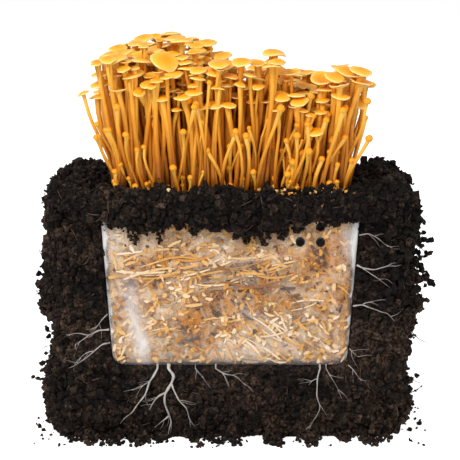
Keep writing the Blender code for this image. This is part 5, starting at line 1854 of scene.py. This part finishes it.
rootChance = np.random.default_rng(seeds["roots"])
makeLooseCrumbs(rootChance, *makeRoots(rootChance, soilPoints, soilQuads))
makeStrayStraw()
print("roots and loose crumbs made")


# Floor, world, lamps and camera

stageLook = {
    "floorTone": (0.86, 0.86, 0.86),
    "floorGlow": 0.85,
    "floorReach": 6.0,
    "worldLight": 0.52,
    # name, place, size and power of each lamp
    "lamps": [("key", (-0.75, -1.0, 1.15), 0.9, 19.0), ("fill", (1.1, -0.8, 0.7), 1.0, 4.6)],
    "lampAim": (0, 0, 0.1),
    "frameWidth": 0.300,
    "cameraDistance": 1.05,
    "cameraHeight": 10.0,  # degrees above the horizon
    "aim": (0.0, -0.005, 0.1225),
}


def seenDirectly(tree):
    # 1 for what the camera, a reflection or a clear surface sees
    seen = tree.nodes.new("ShaderNodeLightPath").outputs
    most = addMaths(tree, "MAXIMUM", seen["Is Camera Ray"], seen["Is Glossy Ray"])
    return addMaths(tree, "MAXIMUM", most, seen["Is Transmission Ray"])


def makeStage():
    # a white floor and world, brighter where they are seen directly
    mesh = bpy.data.meshes.new("floor")
    reach = stageLook["floorReach"]
    corners = [(-reach, -reach, 0), (reach, -reach, 0), (reach, reach, 0), (-reach, reach, 0)]
    mesh.from_pydata(corners, [], [(0, 1, 2, 3)])
    ground = Finish("floor", 1.0)
    ground.set("Base Color", (*stageLook["floorTone"], 1))
    ground.set("Specular IOR Level", 0.0)
    ground.set("Emission Color", (1, 1, 1, 1))
    glow = ground.maths("MULTIPLY", seenDirectly(ground.tree), stageLook["floorGlow"])
    ground.set("Emission Strength", glow)
    mesh.materials.append(ground.material)
    linkObject("floor", mesh)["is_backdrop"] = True
    world = bpy.data.worlds.new("white studio")
    bpy.context.scene.world = world
    world.use_nodes = True
    tree = world.node_tree
    background = tree.nodes["Background"]
    feed(tree, background.inputs["Color"], (1, 1, 1, 1))
    level = tree.nodes.new("ShaderNodeMix")
    for number, value in ((0, seenDirectly(tree)), (2, stageLook["worldLight"]), (3, 1.0)):
        feed(tree, level.inputs[number], value)
    feed(tree, background.inputs["Strength"], level.outputs[0])


def aimed(holder, place, aim):
    # at a place, looking at the aim
    holder.location = place
    holder.rotation_euler = (aim - holder.location).to_track_quat("-Z", "Y").to_euler()
    return holder


def addLamp(name, place, size, power):
    lamp = bpy.data.lights.new(name, "AREA")
    lamp.shape = "DISK"
    lamp.size = size
    lamp.energy = power
    aimed(linkObject(name, lamp), Vector(place), Vector(stageLook["lampAim"]))


def makeCamera():
    camera = bpy.data.cameras.new("camera")
    distance, angle = stageLook["cameraDistance"], math.radians(stageLook["cameraHeight"])
    aim = Vector(stageLook["aim"])
    place = aim + distance * Vector((0, -math.cos(angle), math.sin(angle)))
    camera.sensor_width = 36
    camera.lens = camera.sensor_width * distance / stageLook["frameWidth"]
    camera.clip_start, camera.clip_end = 0.05, 30
    bpy.context.scene.camera = aimed(linkObject("camera", camera), place, aim)


makeStage()
for lampValues in stageLook["lamps"]:
    addLamp(*lampValues)
makeCamera()
bpy.context.scene.view_settings.view_transform = "Standard"

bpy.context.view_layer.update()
counted = [sum(len(face.vertices) - 2 for face in piece.data.polygons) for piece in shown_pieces()]
print("triangles shown", sum(counted), "the most in one piece", max(counted))
